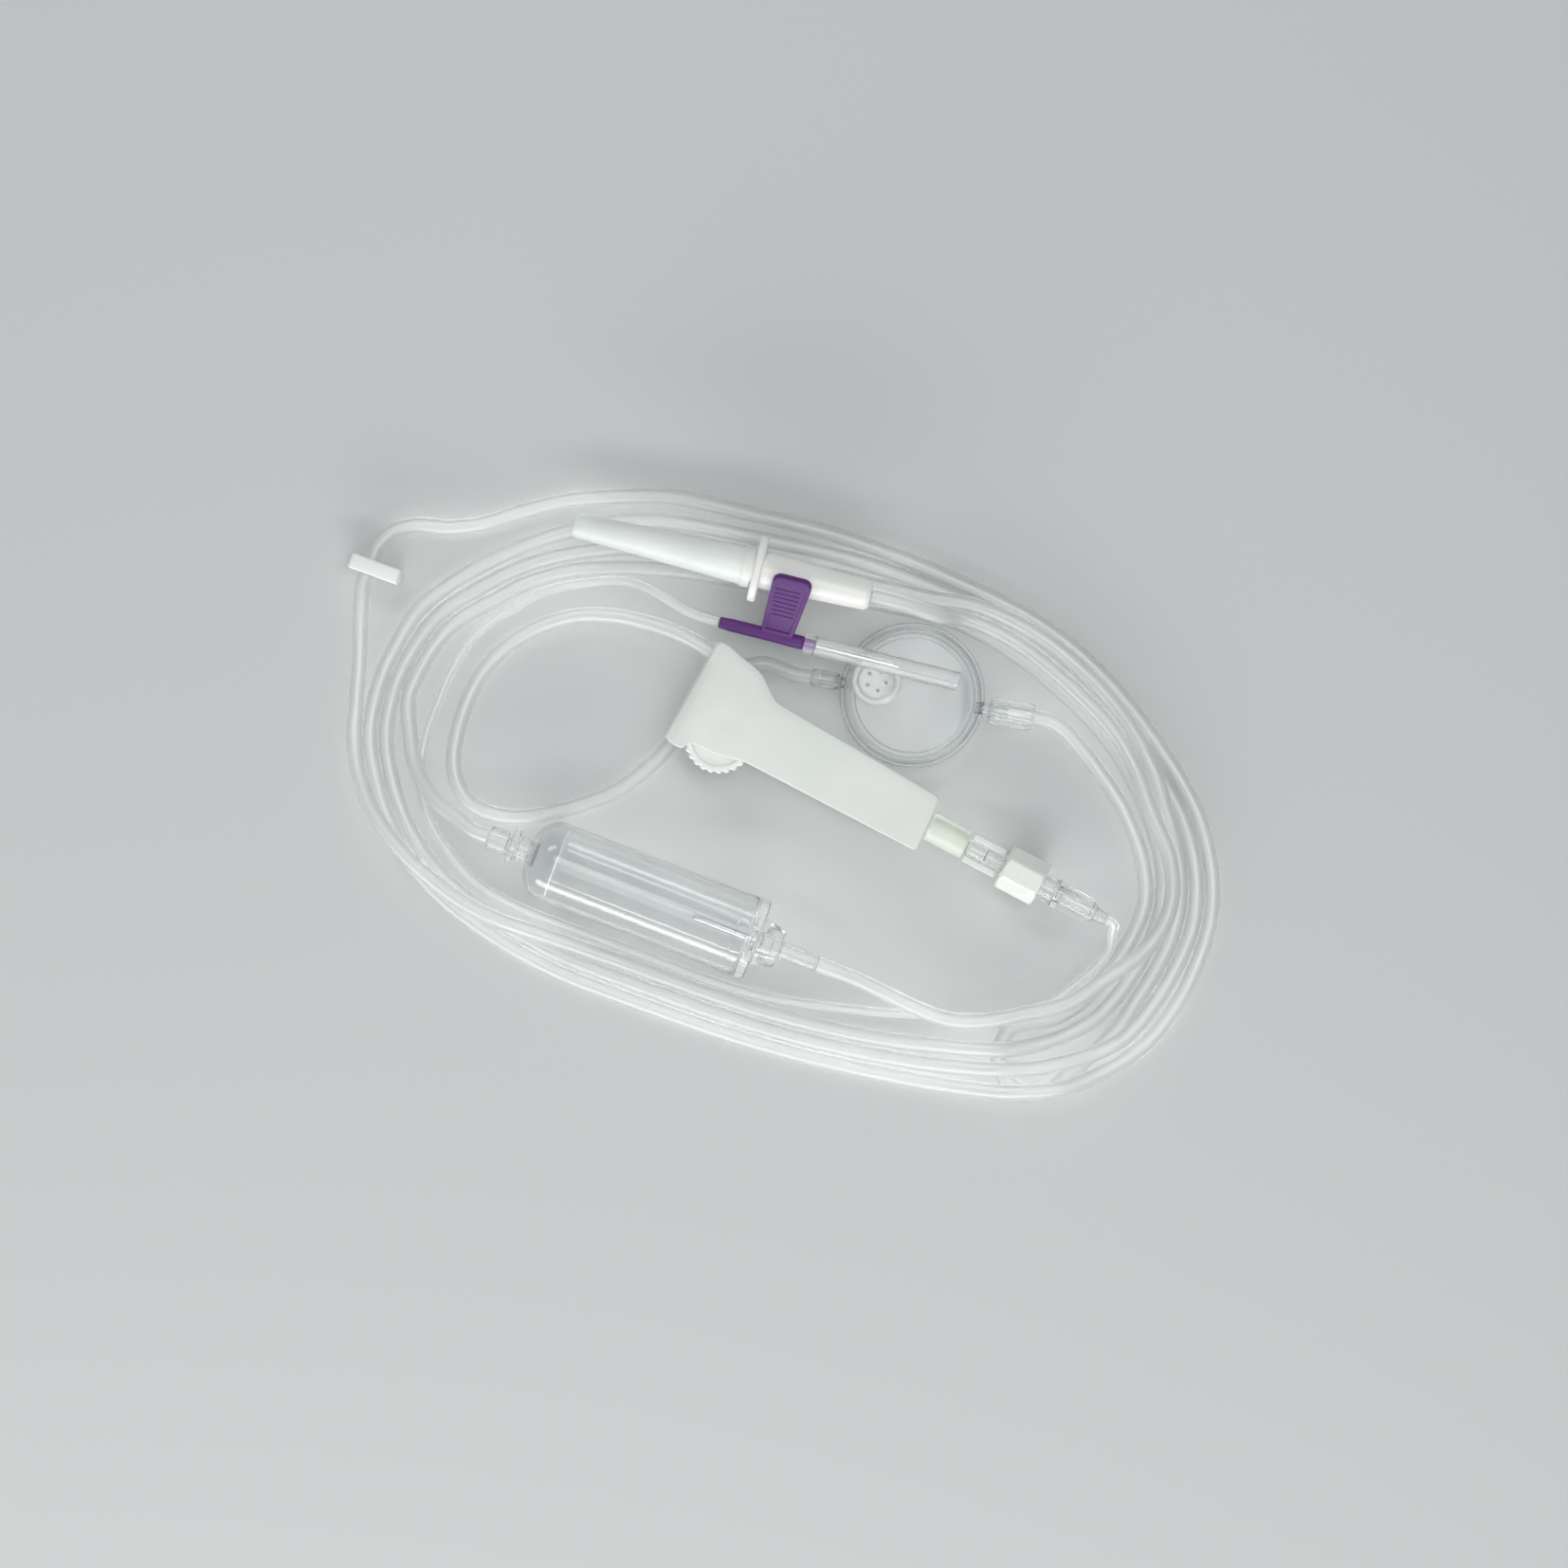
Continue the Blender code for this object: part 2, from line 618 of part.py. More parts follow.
def make_filter_lower_shell(frame):
    """Flat cup with a grooved rim, flow ribs and both tube ports."""
    inner = FILTER_RADIUS - FILTER_WALL
    top = FILTER_SHELL_HEIGHT
    rib_top = FILTER_FLOOR + FILTER_RIB_HEIGHT
    shell = turned("filter_lower_shell", [
        (top, FILTER_RADIUS - 0.0004), (top - 0.0004, FILTER_RADIUS), (0.0006, FILTER_RADIUS),
        (0.0, FILTER_RADIUS - 0.0006), (0.0, 0.0),
        (FILTER_FLOOR, 0.0),
    ] + rib_profile(rib_top, inner) + [(FILTER_FLOOR, inner), (top, inner)], 40)
    # The outline touches the axis, so it is closed through the mouth instead.
    shell = remake_as_cup(shell)
    slot = show_as_cutter(block("rib_slot", (-inner + 0.0006, -0.0008, FILTER_FLOOR),
                                (inner - 0.0006, 0.0008, rib_top + 0.0010)), frame)
    join_or_cut(shell, slot, "DIFFERENCE")
    join_or_cut(shell, port_stub("inlet_stub", frame, 1, INLET_PORT_Z, 0.0015), "UNION")
    join_or_cut(shell, port_stub("outlet_stub", frame, -1, OUTLET_PORT_Z, 0.0013), "UNION")
    reach = FILTER_WALL + PORT_STUB_LENGTH + 0.0020
    inlet = show_as_cutter(rod("inlet_bore", (inner - 0.0010, 0.0, INLET_PORT_Z + 0.0002), reach,
                               0.0007, 12), frame)
    outlet = show_as_cutter(rod("outlet_bore", (-inner + 0.0010 - reach, 0.0, OUTLET_PORT_Z - 0.0003),
                                reach, 0.0005, 12), frame)
    join_or_cut(shell, inlet, "DIFFERENCE")
    join_or_cut(shell, outlet, "DIFFERENCE")
    return show_as_piece(shell, "clear_plastic", frame)


def rib_profile(top, inner):
    """Three ring ribs on the filter's floor, from the middle outwards."""
    points = []
    for share in (0.25, 0.50, 0.75):
        middle = inner * share
        points += [(FILTER_FLOOR, middle - 0.0004), (top, middle - 0.0004),
                   (top, middle + 0.0004), (FILTER_FLOOR, middle + 0.0004)]
    return points


def remake_as_cup(item):
    """Swap a Screw cup whose outline touches the axis for a closed turned shell."""
    steps = item.modifiers["turn"].steps
    profile = [(vertex.co.z, vertex.co.x) for vertex in item.data.vertices]
    name = item.name
    bpy.data.objects.remove(item, do_unlink=True)
    return turned_shell(name, profile, steps)


def make_filter_lid(frame):
    """Lid with its raised ring, the vent boss and the ring that holds the membrane."""
    low = FILTER_SHELL_HEIGHT + GAP
    high = low + FILTER_LID_THICKNESS
    spigot = FILTER_RADIUS - FILTER_WALL - GAP
    spigot_low = FILTER_FLOOR + FILTER_RIB_HEIGHT + MEMBRANE_THICKNESS + 2 * GAP
    lid = turned_shell("filter_upper_shell", [
        (spigot_low, spigot), (spigot_low, spigot - 0.0010), (low, spigot - 0.0010),
        (low, 0.0), (high, 0.0), (high, 0.0134), (high + 0.0004, 0.0136),
        (high + 0.0004, 0.0143), (high, 0.0145), (high, FILTER_LID_RADIUS - 0.0004),
        (high - 0.0004, FILTER_LID_RADIUS), (low, FILTER_LID_RADIUS), (low, spigot),
    ], 40)
    boss = show_as_cutter(disc("vent_boss", (VENT_X, VENT_Y, high - 0.0003), VENT_HEIGHT + 0.0003,
                               VENT_RADIUS, 32), frame)
    holder = show_as_cutter(disc("vent_holder", (VENT_X, VENT_Y, low - 0.0011), 0.0014,
                                 VENT_RADIUS * 0.84, 28), frame)
    hollow = show_as_cutter(disc("vent_hollow", (VENT_X, VENT_Y, low - 0.0020), 0.0020,
                                 VENT_RADIUS * 0.72, 28), frame)
    recess = show_as_cutter(disc("vent_recess", (VENT_X, VENT_Y, high + 0.0001), VENT_HEIGHT,
                                 VENT_RADIUS * 0.70, 28), frame)
    join_or_cut(lid, boss, "UNION")
    join_or_cut(lid, holder, "UNION")
    join_or_cut(lid, hollow, "DIFFERENCE")
    join_or_cut(lid, recess, "DIFFERENCE")
    for k in range(5):
        angle = 2 * math.pi * k / 5
        spot = (VENT_X + 0.0022 * math.cos(angle), VENT_Y + 0.0022 * math.sin(angle), low - 0.0010)
        hole = show_as_cutter(disc("vent_hole_%d" % k, spot, 0.0060, 0.0005, 10), frame)
        join_or_cut(lid, hole, "DIFFERENCE")
    notch = show_as_cutter(block("inlet_notch", (spigot - 0.0020, -0.0014, spigot_low - 0.0010),
                                 (spigot + 0.0010, 0.0014, low - 0.0002)), frame)
    join_or_cut(lid, notch, "DIFFERENCE")
    return show_as_piece(lid, "clear_plastic", frame)


def make_filter_membranes(frame):
    low = FILTER_FLOOR + FILTER_RIB_HEIGHT + GAP
    radius = FILTER_RADIUS - FILTER_WALL - GAP
    membrane = disc("filter_membrane", (0.0, 0.0, low), MEMBRANE_THICKNESS, radius, 40)
    show_as_piece(membrane, "membrane", frame)
    vent_z = FILTER_SHELL_HEIGHT - MEMBRANE_THICKNESS
    vent = disc("vent_membrane", (VENT_X, VENT_Y, vent_z), MEMBRANE_THICKNESS,
                VENT_RADIUS * 0.72 - GAP, 28)
    show_as_piece(vent, "membrane", frame)


def make_filter_sockets(frame):
    """Clear connectors pushed over the filter's stubs."""
    start = FILTER_RADIUS + GAP + INLET_SETBACK
    end = start + INLET_SOCKET_LENGTH
    wide = INLET_SOCKET_RADIUS
    bore = 0.0015 + GAP
    inlet = lay_along_x(turned("filter_inlet_socket", [
        (end, wide - 0.0004), (end - 0.0004, wide), (end - 0.0030, wide), (end - 0.0033, wide - 0.0005),
        (start + 0.0025, wide - 0.0005), (start + 0.0022, wide), (start, wide), (start, bore),
        (start + PORT_STUB_LENGTH + 0.0010, bore), (start + PORT_STUB_LENGTH + 0.0016, 0.0009),
        (end, 0.0009),
    ], 28))
    inlet.location = (0.0, 0.0, INLET_PORT_Z)
    show_as_piece(inlet, "clear_plastic", frame)
    start = FILTER_RADIUS + GAP
    end = start + OUTLET_SOCKET_LENGTH
    wide = OUTLET_SOCKET_RADIUS
    bore = 0.0013 + GAP
    outlet = turned("filter_outlet_socket", [
        (end, wide - 0.0003), (start + 0.0020, wide - 0.0001), (start, wide), (start, bore),
        (start + PORT_STUB_LENGTH + 0.0006, bore), (start + PORT_STUB_LENGTH + 0.0010, 0.0008),
        (end, 0.0008),
    ], 24)
    outlet.rotation_euler = (0.0, math.radians(-90.0), 0.0)
    outlet.location = (0.0, 0.0, OUTLET_PORT_Z)
    show_as_piece(outlet, "clear_plastic", frame)


def make_clamp_body(frame):
    """Open trough with axle grooves inside both side walls."""
    body = prism("roller_clamp_body", CLAMP_OUTLINE, 0.0, CLAMP_THICKNESS)
    trough = [(HEAD_WALL, -0.0060), (0.0700, -0.0060)] + TROUGH_BACK
    cavity = show_as_cutter(prism("trough", trough, CLAMP_WALL, CLAMP_THICKNESS - CLAMP_WALL), frame)
    join_or_cut(body, cavity, "DIFFERENCE")
    slope = math.radians(GROOVE_SLOPE_DEG)
    radius = AXLE_RADIUS + GAP
    for side, low in (("low", CLAMP_WALL - GROOVE_DEPTH),
                      ("high", CLAMP_THICKNESS - CLAMP_WALL - 0.0004)):
        groove = show_as_cutter(prism("axle_groove_" + side, slot_outline(GROOVE_TRAVEL, radius),
                                      0.0, GROOVE_DEPTH + 0.0004), frame)
        groove.location = (WHEEL_X, WHEEL_Y, low)
        groove.rotation_euler = (0.0, 0.0, slope)
        join_or_cut(body, groove, "DIFFERENCE")
    hole = show_as_cutter(rod("head_hole", (-0.0030, HEAD_HOLE_Y, CLAMP_THICKNESS / 2), 0.0080,
                              TUBE_DIAMETER / 2 + 0.0004, 20), frame)
    join_or_cut(body, hole, "DIFFERENCE")
    return show_as_piece(body, "milky_plastic", frame)


def slot_outline(length, radius, sides=8):
    """A long hole with round ends, from x = 0 to x = length."""
    points = []
    for k in range(sides + 1):
        angle = math.radians(-90.0) + math.pi * k / sides
        points.append((length + radius * math.cos(angle), radius * math.sin(angle)))
    for k in range(sides + 1):
        angle = math.radians(90.0) + math.pi * k / sides
        points.append((radius * math.cos(angle), radius * math.sin(angle)))
    return points


def make_roller_wheel(frame):
    """Ribbed wheel with a stub axle on each side, one moulding."""
    pivot = make_empty("roller_pivot", (WHEEL_X, WHEEL_Y, CLAMP_THICKNESS / 2, 0.0, 0.0, 0.0), frame)
    outline = []
    for k in range(WHEEL_RIBS * 4):
        angle = 2 * math.pi * k / (WHEEL_RIBS * 4)
        reach = WHEEL_RADIUS if k % 4 < 2 else WHEEL_RADIUS - 0.0005
        outline.append((reach * math.cos(angle), reach * math.sin(angle)))
    half = WHEEL_WIDTH / 2
    wheel = prism("roller_wheel", outline, -half, half)
    for side, low in (("low", -half - 0.0010), ("high", half - 0.0010)):
        recess = show_as_cutter(ring_solid("wheel_recess_" + side, 0.0030, WHEEL_RADIUS - 0.0018,
                                           low, low + 0.0020), pivot)
        join_or_cut(wheel, recess, "DIFFERENCE")
    reach = CLAMP_THICKNESS / 2 - CLAMP_WALL + GROOVE_DEPTH - GAP
    axle = show_as_cutter(disc("wheel_axle", (0.0, 0.0, -reach), 2 * reach, AXLE_RADIUS, 20), pivot)
    join_or_cut(wheel, axle, "UNION")
    return show_as_piece(wheel, "white_plastic", pivot)


def ring_solid(name, inner, outer, low, high, sides=32):
    return turned_shell(name, [(high, outer), (low, outer), (low, inner), (high, inner)], sides)


def make_luer_chain(frame):
    """Injection tube, male connector and winged-set connector on one axis."""
    injection = lay_along_x(turned("injection_tube", [
        (INJECTION_LENGTH, INJECTION_RADIUS), (0.0, INJECTION_RADIUS), (0.0, 0.0016),
        (INJECTION_LENGTH, 0.0016),
    ], 28))
    show_as_piece(injection, "soft_rubber", frame)

    barrel_start = INJECTION_LENGTH + GAP
    barrel_end = barrel_start + LUER_BARREL_LENGTH
    nut_start = barrel_end + GAP
    nut_end = nut_start + NUT_LENGTH
    taper_end = nut_end - 0.0010
    male = lay_along_x(turned("male_luer", [
        (taper_end, LUER_TIP_RADIUS - 0.0002), (nut_start + 0.0030, LUER_TIP_RADIUS + 0.0001),
        (nut_start + 0.0028, 0.0026), (barrel_end, 0.0026), (barrel_end - 0.0001, LUER_BARREL_RADIUS),
        (barrel_start, LUER_BARREL_RADIUS), (barrel_start, 0.0010), (taper_end, 0.0010),
    ], 28))
    for side, sign in (("left", 1.0), ("right", -1.0)):
        near = sign * (LUER_BARREL_RADIUS - 0.0008)
        far = sign * GRIP_REACH
        grip = show_as_cutter(block("grip_" + side,
                                    (barrel_start + 0.0003, min(near, far), -GRIP_THICKNESS / 2),
                                    (barrel_start + GRIP_LENGTH, max(near, far), GRIP_THICKNESS / 2)),
                              frame)
        join_or_cut(male, grip, "UNION")
    show_as_piece(male, "clear_plastic", frame)

    nut_axis = make_empty("nut_axis", (nut_start, 0.0, 0.0, 0.0, 0.0, 0.0), frame)
    make_lock_nut(nut_axis)

    female_start = nut_start + 0.0050
    female_end = female_start + FEMALE_LENGTH
    lug = NUT_BORE - GAP - 0.0003
    female = lay_along_x(turned("female_luer", [
        (female_end, 0.0013), (female_end - 0.0005, 0.0016), (female_end - 0.0030, FEMALE_HUB_RADIUS - 0.0004),
        (female_end - 0.0034, FEMALE_HUB_RADIUS), (female_start + 0.0105, FEMALE_HUB_RADIUS),
        (female_start + 0.0101, FEMALE_RADIUS - 0.0003), (female_start + 0.0087, FEMALE_RADIUS - 0.0003),
        (female_start + 0.0083, 0.0031), (female_start + 0.0018, 0.0031), (female_start + 0.0014, lug),
        (female_start, lug), (female_start, LUER_TIP_RADIUS + 0.0005),
        (taper_end + 0.0008, LUER_TIP_RADIUS + 0.0003), (taper_end + 0.0012, 0.0007), (female_end, 0.0007),
    ], 28))
    show_as_piece(female, "clear_plastic", frame)
    return female_end


def make_lock_nut(nut_axis):
    """Faceted collar that turns on the male connector."""
    def outline_radius(k, sides):
        share = (k * NUT_SIDES / sides) % 1.0
        dip = 0.5 - abs(share - 0.5)
        return NUT_RADIUS - 0.0008 * dip

    sides = NUT_SIDES * 6
    outline = []
    for k in range(sides):
        angle = 2 * math.pi * k / sides
        reach = outline_radius(k, sides)
        outline.append((reach * math.cos(angle), reach * math.sin(angle)))
    nut = prism("luer_lock_nut", outline, 0.0, NUT_LENGTH)
    bore = show_as_cutter(disc("nut_bore", (0.0, 0.0, 0.0020), NUT_LENGTH + 0.0020, NUT_BORE, 32), nut_axis)
    lay_along_x(bore)
    neck = show_as_cutter(disc("nut_neck", (0.0, 0.0, -0.0020), NUT_LENGTH, 0.0026 + GAP, 28), nut_axis)
    lay_along_x(neck)
    join_or_cut(nut, bore, "DIFFERENCE")
    join_or_cut(nut, neck, "DIFFERENCE")
    lay_along_x(nut)
    show_as_piece(nut, "white_plastic", nut_axis)


def make_drip_chamber(frame):
    """Clear chamber, its cap with nozzle and dropper, mesh and outlet connector."""
    dome = OUTLET_LENGTH
    body_start = dome + DOME_LENGTH
    end = dome + CHAMBER_LENGTH
    wide = CHAMBER_RADIUS
    inner = wide - CHAMBER_WALL
    stub = 0.0018
    chamber = lay_along_x(turned("drip_chamber", [
        (end, wide), (body_start, wide), (dome + 0.0030, wide * 0.90), (dome + 0.0012, wide * 0.68),
        (dome + 0.0003, wide * 0.40), (dome, stub), (dome - 0.0040, stub), (dome - 0.0040, stub - 0.0008),
        (dome + 0.0010, stub - 0.0008), (dome + 0.0022, inner * 0.66), (dome + 0.0040, inner * 0.84),
        (dome + 0.0052, inner * 0.88), (body_start + 0.0004, inner * 0.88), (body_start + 0.0006, inner),
        (end, inner),
    ], 36))
    show_as_piece(chamber, "clear_plastic", frame)

    outlet_bore = stub + GAP
    outlet = lay_along_x(turned("chamber_outlet", [
        (dome - GAP, OUTLET_RADIUS), (dome - 0.0030, OUTLET_RADIUS), (dome - 0.0032, OUTLET_RADIUS + 0.0012),
        (dome - 0.0046, OUTLET_RADIUS + 0.0012), (dome - 0.0048, OUTLET_RADIUS - 0.0004),
        (0.0, OUTLET_RADIUS - 0.0006), (0.0, 0.0010), (dome - 0.0046, 0.0010),
        (dome - 0.0044, outlet_bore), (dome - GAP, outlet_bore),
    ], 24))
    show_as_piece(outlet, "clear_plastic", frame)

    mesh_x = body_start + 0.0006 + GAP
    mesh = lay_along_x(disc("fluid_filter_mesh", (0.0, 0.0, 0.0), 0.0003, inner - GAP, 32))
    mesh.location = (mesh_x, 0.0, 0.0)
    show_as_piece(mesh, "mesh", frame)

    plug = inner - GAP
    flange_start = end + GAP
    flange_end = flange_start + 0.0026
    boss_end = end + CAP_LENGTH
    nozzle_end = boss_end + NOZZLE_LENGTH
    bore = DROPPER_RADIUS + GAP
    cap = lay_along_x(turned("chamber_cap", [
        (nozzle_end, NOZZLE_RADIUS), (nozzle_end - 0.0016, NOZZLE_RADIUS),
        (nozzle_end - 0.0018, NOZZLE_RADIUS - 0.0003), (boss_end, NOZZLE_RADIUS - 0.0003),
        (boss_end - 0.0003, 0.0045), (flange_end, 0.0058), (flange_end - 0.0001, CAP_RADIUS - 0.0006),
        (flange_end - 0.0006, CAP_RADIUS), (flange_start, CAP_RADIUS), (flange_start - 0.0001, plug),
        (end - 0.0050, plug), (end - 0.0050, plug - 0.0012), (end - 0.0004, plug - 0.0014),
        (end - 0.0004, bore), (nozzle_end, bore),
    ], 36))
    show_as_piece(cap, "clear_plastic", frame)

    drop_end = flange_end
    dropper = lay_along_x(turned("chamber_dropper", [
        (drop_end, DROPPER_RADIUS), (drop_end - DROPPER_LENGTH, DROPPER_RADIUS),
        (drop_end - DROPPER_LENGTH, DROPPER_RADIUS * 0.55), (drop_end, DROPPER_RADIUS * 0.55),
    ], 16))
    show_as_piece(dropper, "steel", frame)
    return nozzle_end


def make_slide_clamp(frame):
    """Small upright plate with a keyhole that the tube runs through."""
    half = SLIDE_PLATE_LENGTH / 2
    depth = SLIDE_PLATE_THICKNESS / 2
    height = SLIDE_PLATE_HEIGHT / 2
    plate = block("slide_clamp", (-half, -depth, -height), (half, depth, height))
    hole = show_as_cutter(disc("slide_hole", (SLIDE_HOLE_OFFSET, 0.0, -0.0050), 0.0100,
                               TUBE_DIAMETER / 2 + GAP, 24), frame)
    hole.rotation_euler = (math.radians(90.0), 0.0, 0.0)
    slot = show_as_cutter(block("slide_slot", (SLIDE_HOLE_OFFSET, -0.0050, -SLIDE_SLOT_WIDTH / 2),
                                (SLIDE_SLOT_END, 0.0050, SLIDE_SLOT_WIDTH / 2)), frame)
    chamfer(plate, 0.0006)
    join_or_cut(plate, hole, "DIFFERENCE")
    join_or_cut(plate, slot, "DIFFERENCE")
    return show_as_piece(plate, "white_plastic", frame)


def make_tubes(root, luer_end, nozzle_end):
    low = TUBE_FLOOR_Z
    on_coil = COIL_HEIGHT + TUBE_DIAMETER / 2 + 0.00045

    hub_end = SHEATH_LENGTH + GAP + FLANGE_LENGTH + HUB_LENGTH
    tube("spike_tube", [
        place(SPIKE_FRAME, hub_end + GAP), place(SPIKE_FRAME, hub_end + 0.0080),
        (0.0200, 0.0520, SPIKE_AXIS_Z - 0.0012), (0.0320, 0.0522, on_coil), (0.0420, 0.0505, on_coil),
    ], TUBE_DIAMETER, root)

    tube("chamber_inlet_tube", [
        place(CHAMBER_FRAME, nozzle_end + GAP), place(CHAMBER_FRAME, nozzle_end + 0.0050),
        (0.0320, -0.0352, CAP_RADIUS - 0.0022), (0.0400, -0.0353, CAP_RADIUS - 0.0040),
    ], TUBE_DIAMETER, root)

    tube("chamber_outlet_tube", [
        place(CHAMBER_FRAME, -GAP), place(CHAMBER_FRAME, -0.0050),
        (-0.0760, -0.0300, on_coil), (-0.0835, -0.0240, on_coil), (-0.0890, -0.0160, on_coil),
    ], TUBE_DIAMETER, root)

    inlet_end = FILTER_RADIUS + GAP + INLET_SETBACK + INLET_SOCKET_LENGTH
    tube("filter_inlet_tube", [
        place(FILTER_FRAME, inlet_end + GAP, 0.0, INLET_PORT_Z),
        place(FILTER_FRAME, inlet_end + 0.0050, 0.0, INLET_PORT_Z),
        (0.0605, 0.0335, INLET_PORT_Z),
    ], TUBE_DIAMETER, root)

    outlet_end = FILTER_RADIUS + GAP + OUTLET_SOCKET_LENGTH
    tube("loop_tube", [
        place(FILTER_FRAME, -outlet_end - GAP, 0.0, OUTLET_PORT_Z),
        place(FILTER_FRAME, -outlet_end - 0.0040, 0.0, OUTLET_PORT_Z),
        (-0.0166, 0.0261, low), (-0.0235, 0.0170, low), (-0.0278, 0.0070, low),
        (-0.0306, -0.0020, low), (-0.0370, -0.0125, low), (-0.0471, -0.0212, low),
        (-0.0590, -0.0275, low), (-0.0690, -0.0275, low), (-0.0750, -0.0215, low),
        (-0.0775, -0.0100, low), (-0.0762, 0.0030, low), (-0.0705, 0.0135, low + 0.0008),
        (-0.0610, 0.0215, low + 0.0028), (-0.0500, 0.0252, low + 0.0058),
        place(CLAMP_FRAME, -0.0080, HEAD_HOLE_Y, CLAMP_THICKNESS / 2),
        place(CLAMP_FRAME, -GAP, HEAD_HOLE_Y, CLAMP_THICKNESS / 2),
    ], TUBE_DIAMETER, root)

    inside = [place(CLAMP_FRAME, x, y, CLAMP_THICKNESS / 2) for x, y in TROUGH_TUBE]
    tube("clamp_tube", [place(CLAMP_FRAME, GAP / 2, HEAD_HOLE_Y, CLAMP_THICKNESS / 2)] + inside
         + [place(CHAIN_FRAME, -0.0035), place(CHAIN_FRAME, -GAP)], TUBE_DIAMETER, root)

    tube("needle_tube_hub_end", [
        place(CHAIN_FRAME, luer_end + GAP), place(CHAIN_FRAME, luer_end + 0.0020),
        (0.0822, -0.0035, CHAIN_AXIS_Z - 0.0014),
    ], NEEDLE_TUBE_DIAMETER, root)

    tube("needle_tube_wing_end", [
        place(NEEDLE_FRAME, -GAP), place(NEEDLE_FRAME, -0.0050),
        (-0.0430, 0.0318, NEEDLE_AXIS_Z - 0.0006), (-0.0530, 0.0345, COIL_HEIGHT + 0.0014),
        (-0.0600, 0.0345, COIL_HEIGHT + 0.0014),
    ], NEEDLE_TUBE_DIAMETER, root)

    slide_z = SLIDE_FRAME[2]
    strand_x = SLIDE_FRAME[0] + SLIDE_HOLE_OFFSET
    strand_y = SLIDE_FRAME[1]
    tube("slide_clamp_strand", [
        (-0.1051, -0.0060, low), (-0.1072, 0.0030, low + 0.0008), (strand_x, strand_y - 0.0045, slide_z),
        (strand_x, strand_y - 0.0018, slide_z), (strand_x, strand_y + 0.0018, slide_z),
        (strand_x, strand_y + 0.0045, slide_z), (-0.1056, 0.0265, low + 0.0008),
        (-0.0985, 0.0312, low), (-0.0920, 0.0339, low), (-0.0866, 0.0362, low),
    ], TUBE_DIAMETER, root)


def main():
    root = make_empty("set_origin", (SHIFT_X, SHIFT_Y, 0.0, 0.0, 0.0, 0.0))
    spike_frame = make_empty("spike_frame", SPIKE_FRAME, root)
    needle_frame = make_empty("needle_frame", NEEDLE_FRAME, root)
    wing_frame = make_empty("wing_frame", WING_FRAME, root)
    filter_frame = make_empty("filter_frame", FILTER_FRAME, root)
    clamp_frame = make_empty("clamp_frame", CLAMP_FRAME, root)
    chain_frame = make_empty("chain_frame", CHAIN_FRAME, root)
    chamber_frame = make_empty("chamber_frame", CHAMBER_FRAME, root)
    slide_frame = make_empty("slide_frame", SLIDE_FRAME, root)
    make_coil(root)
    make_spike_sheath(spike_frame)
    make_spike(spike_frame)
    make_winged_hub(wing_frame)
    make_cannula(needle_frame)
    make_needle_guard(needle_frame)
    make_filter_lower_shell(filter_frame)
    make_filter_lid(filter_frame)
    make_filter_membranes(filter_frame)
    make_filter_sockets(filter_frame)
    make_clamp_body(clamp_frame)
    make_roller_wheel(clamp_frame)
    luer_end = make_luer_chain(chain_frame)
    nozzle_end = make_drip_chamber(chamber_frame)
    make_slide_clamp(slide_frame)
    make_tubes(root, luer_end, nozzle_end)


clear_scene()
KEPT, CUTTERS = make_collections()
main()
bpy.context.view_layer.update()
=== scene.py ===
# %% [markdown]
# # IV infusion set with a winged needle
#
# This script dresses the imported CAD model of an infusion set. The set lies coiled on a pale floor,
# and the camera looks straight down on it.
#
# The cells load the model, place the camera and lamps, lay the tubing, make the materials, and
# then build the visible pieces one by one. The CAD stays underneath as the frame that everything
# is placed in, and each new piece hides the CAD piece that it stands for.

# %% [markdown]
# ## Load the imported model
#
# The imported pieces lose their parents, with their places baked into their meshes, and the empty nodes
# are removed.

# %% Load the model
import math

import bmesh
import bpy
import numpy as np
from mathutils import Euler, Matrix, Vector


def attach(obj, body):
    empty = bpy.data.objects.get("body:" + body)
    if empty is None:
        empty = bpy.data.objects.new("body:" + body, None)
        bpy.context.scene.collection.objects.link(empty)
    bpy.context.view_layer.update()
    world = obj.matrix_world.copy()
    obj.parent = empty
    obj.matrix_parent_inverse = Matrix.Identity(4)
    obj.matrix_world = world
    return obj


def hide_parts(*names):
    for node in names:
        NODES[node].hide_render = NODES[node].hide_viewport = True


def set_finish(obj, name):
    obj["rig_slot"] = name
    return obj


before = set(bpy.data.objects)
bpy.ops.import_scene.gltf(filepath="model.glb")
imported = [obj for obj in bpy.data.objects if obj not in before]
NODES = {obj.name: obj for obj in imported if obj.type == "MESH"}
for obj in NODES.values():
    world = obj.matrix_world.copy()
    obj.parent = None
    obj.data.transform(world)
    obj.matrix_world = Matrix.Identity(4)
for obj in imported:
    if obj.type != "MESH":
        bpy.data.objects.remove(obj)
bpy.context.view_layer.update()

# %% [markdown]
# ## Sizes and places
#
# Lengths are in metres. Each frame gives the start of a piece's axis and its turn, pitch and roll
# in degrees. They repeat the CAD model's frames, so a piece made along local X lands in its place.

# %% Sizes and places
GAP = 0.0003
TUBE_RADIUS = 0.00185
TUBE_BORE = 0.00128
NEEDLE_TUBE_RADIUS = 0.00105
NEEDLE_TUBE_BORE = 0.00050
SHIFT = Vector((0.01695, -0.0049, 0.0))

CLAMP_LENGTH = 0.0639
CLAMP_PITCH = 4.6
CLAMP_RISE = CLAMP_LENGTH * math.sin(math.radians(CLAMP_PITCH)) + 0.0001

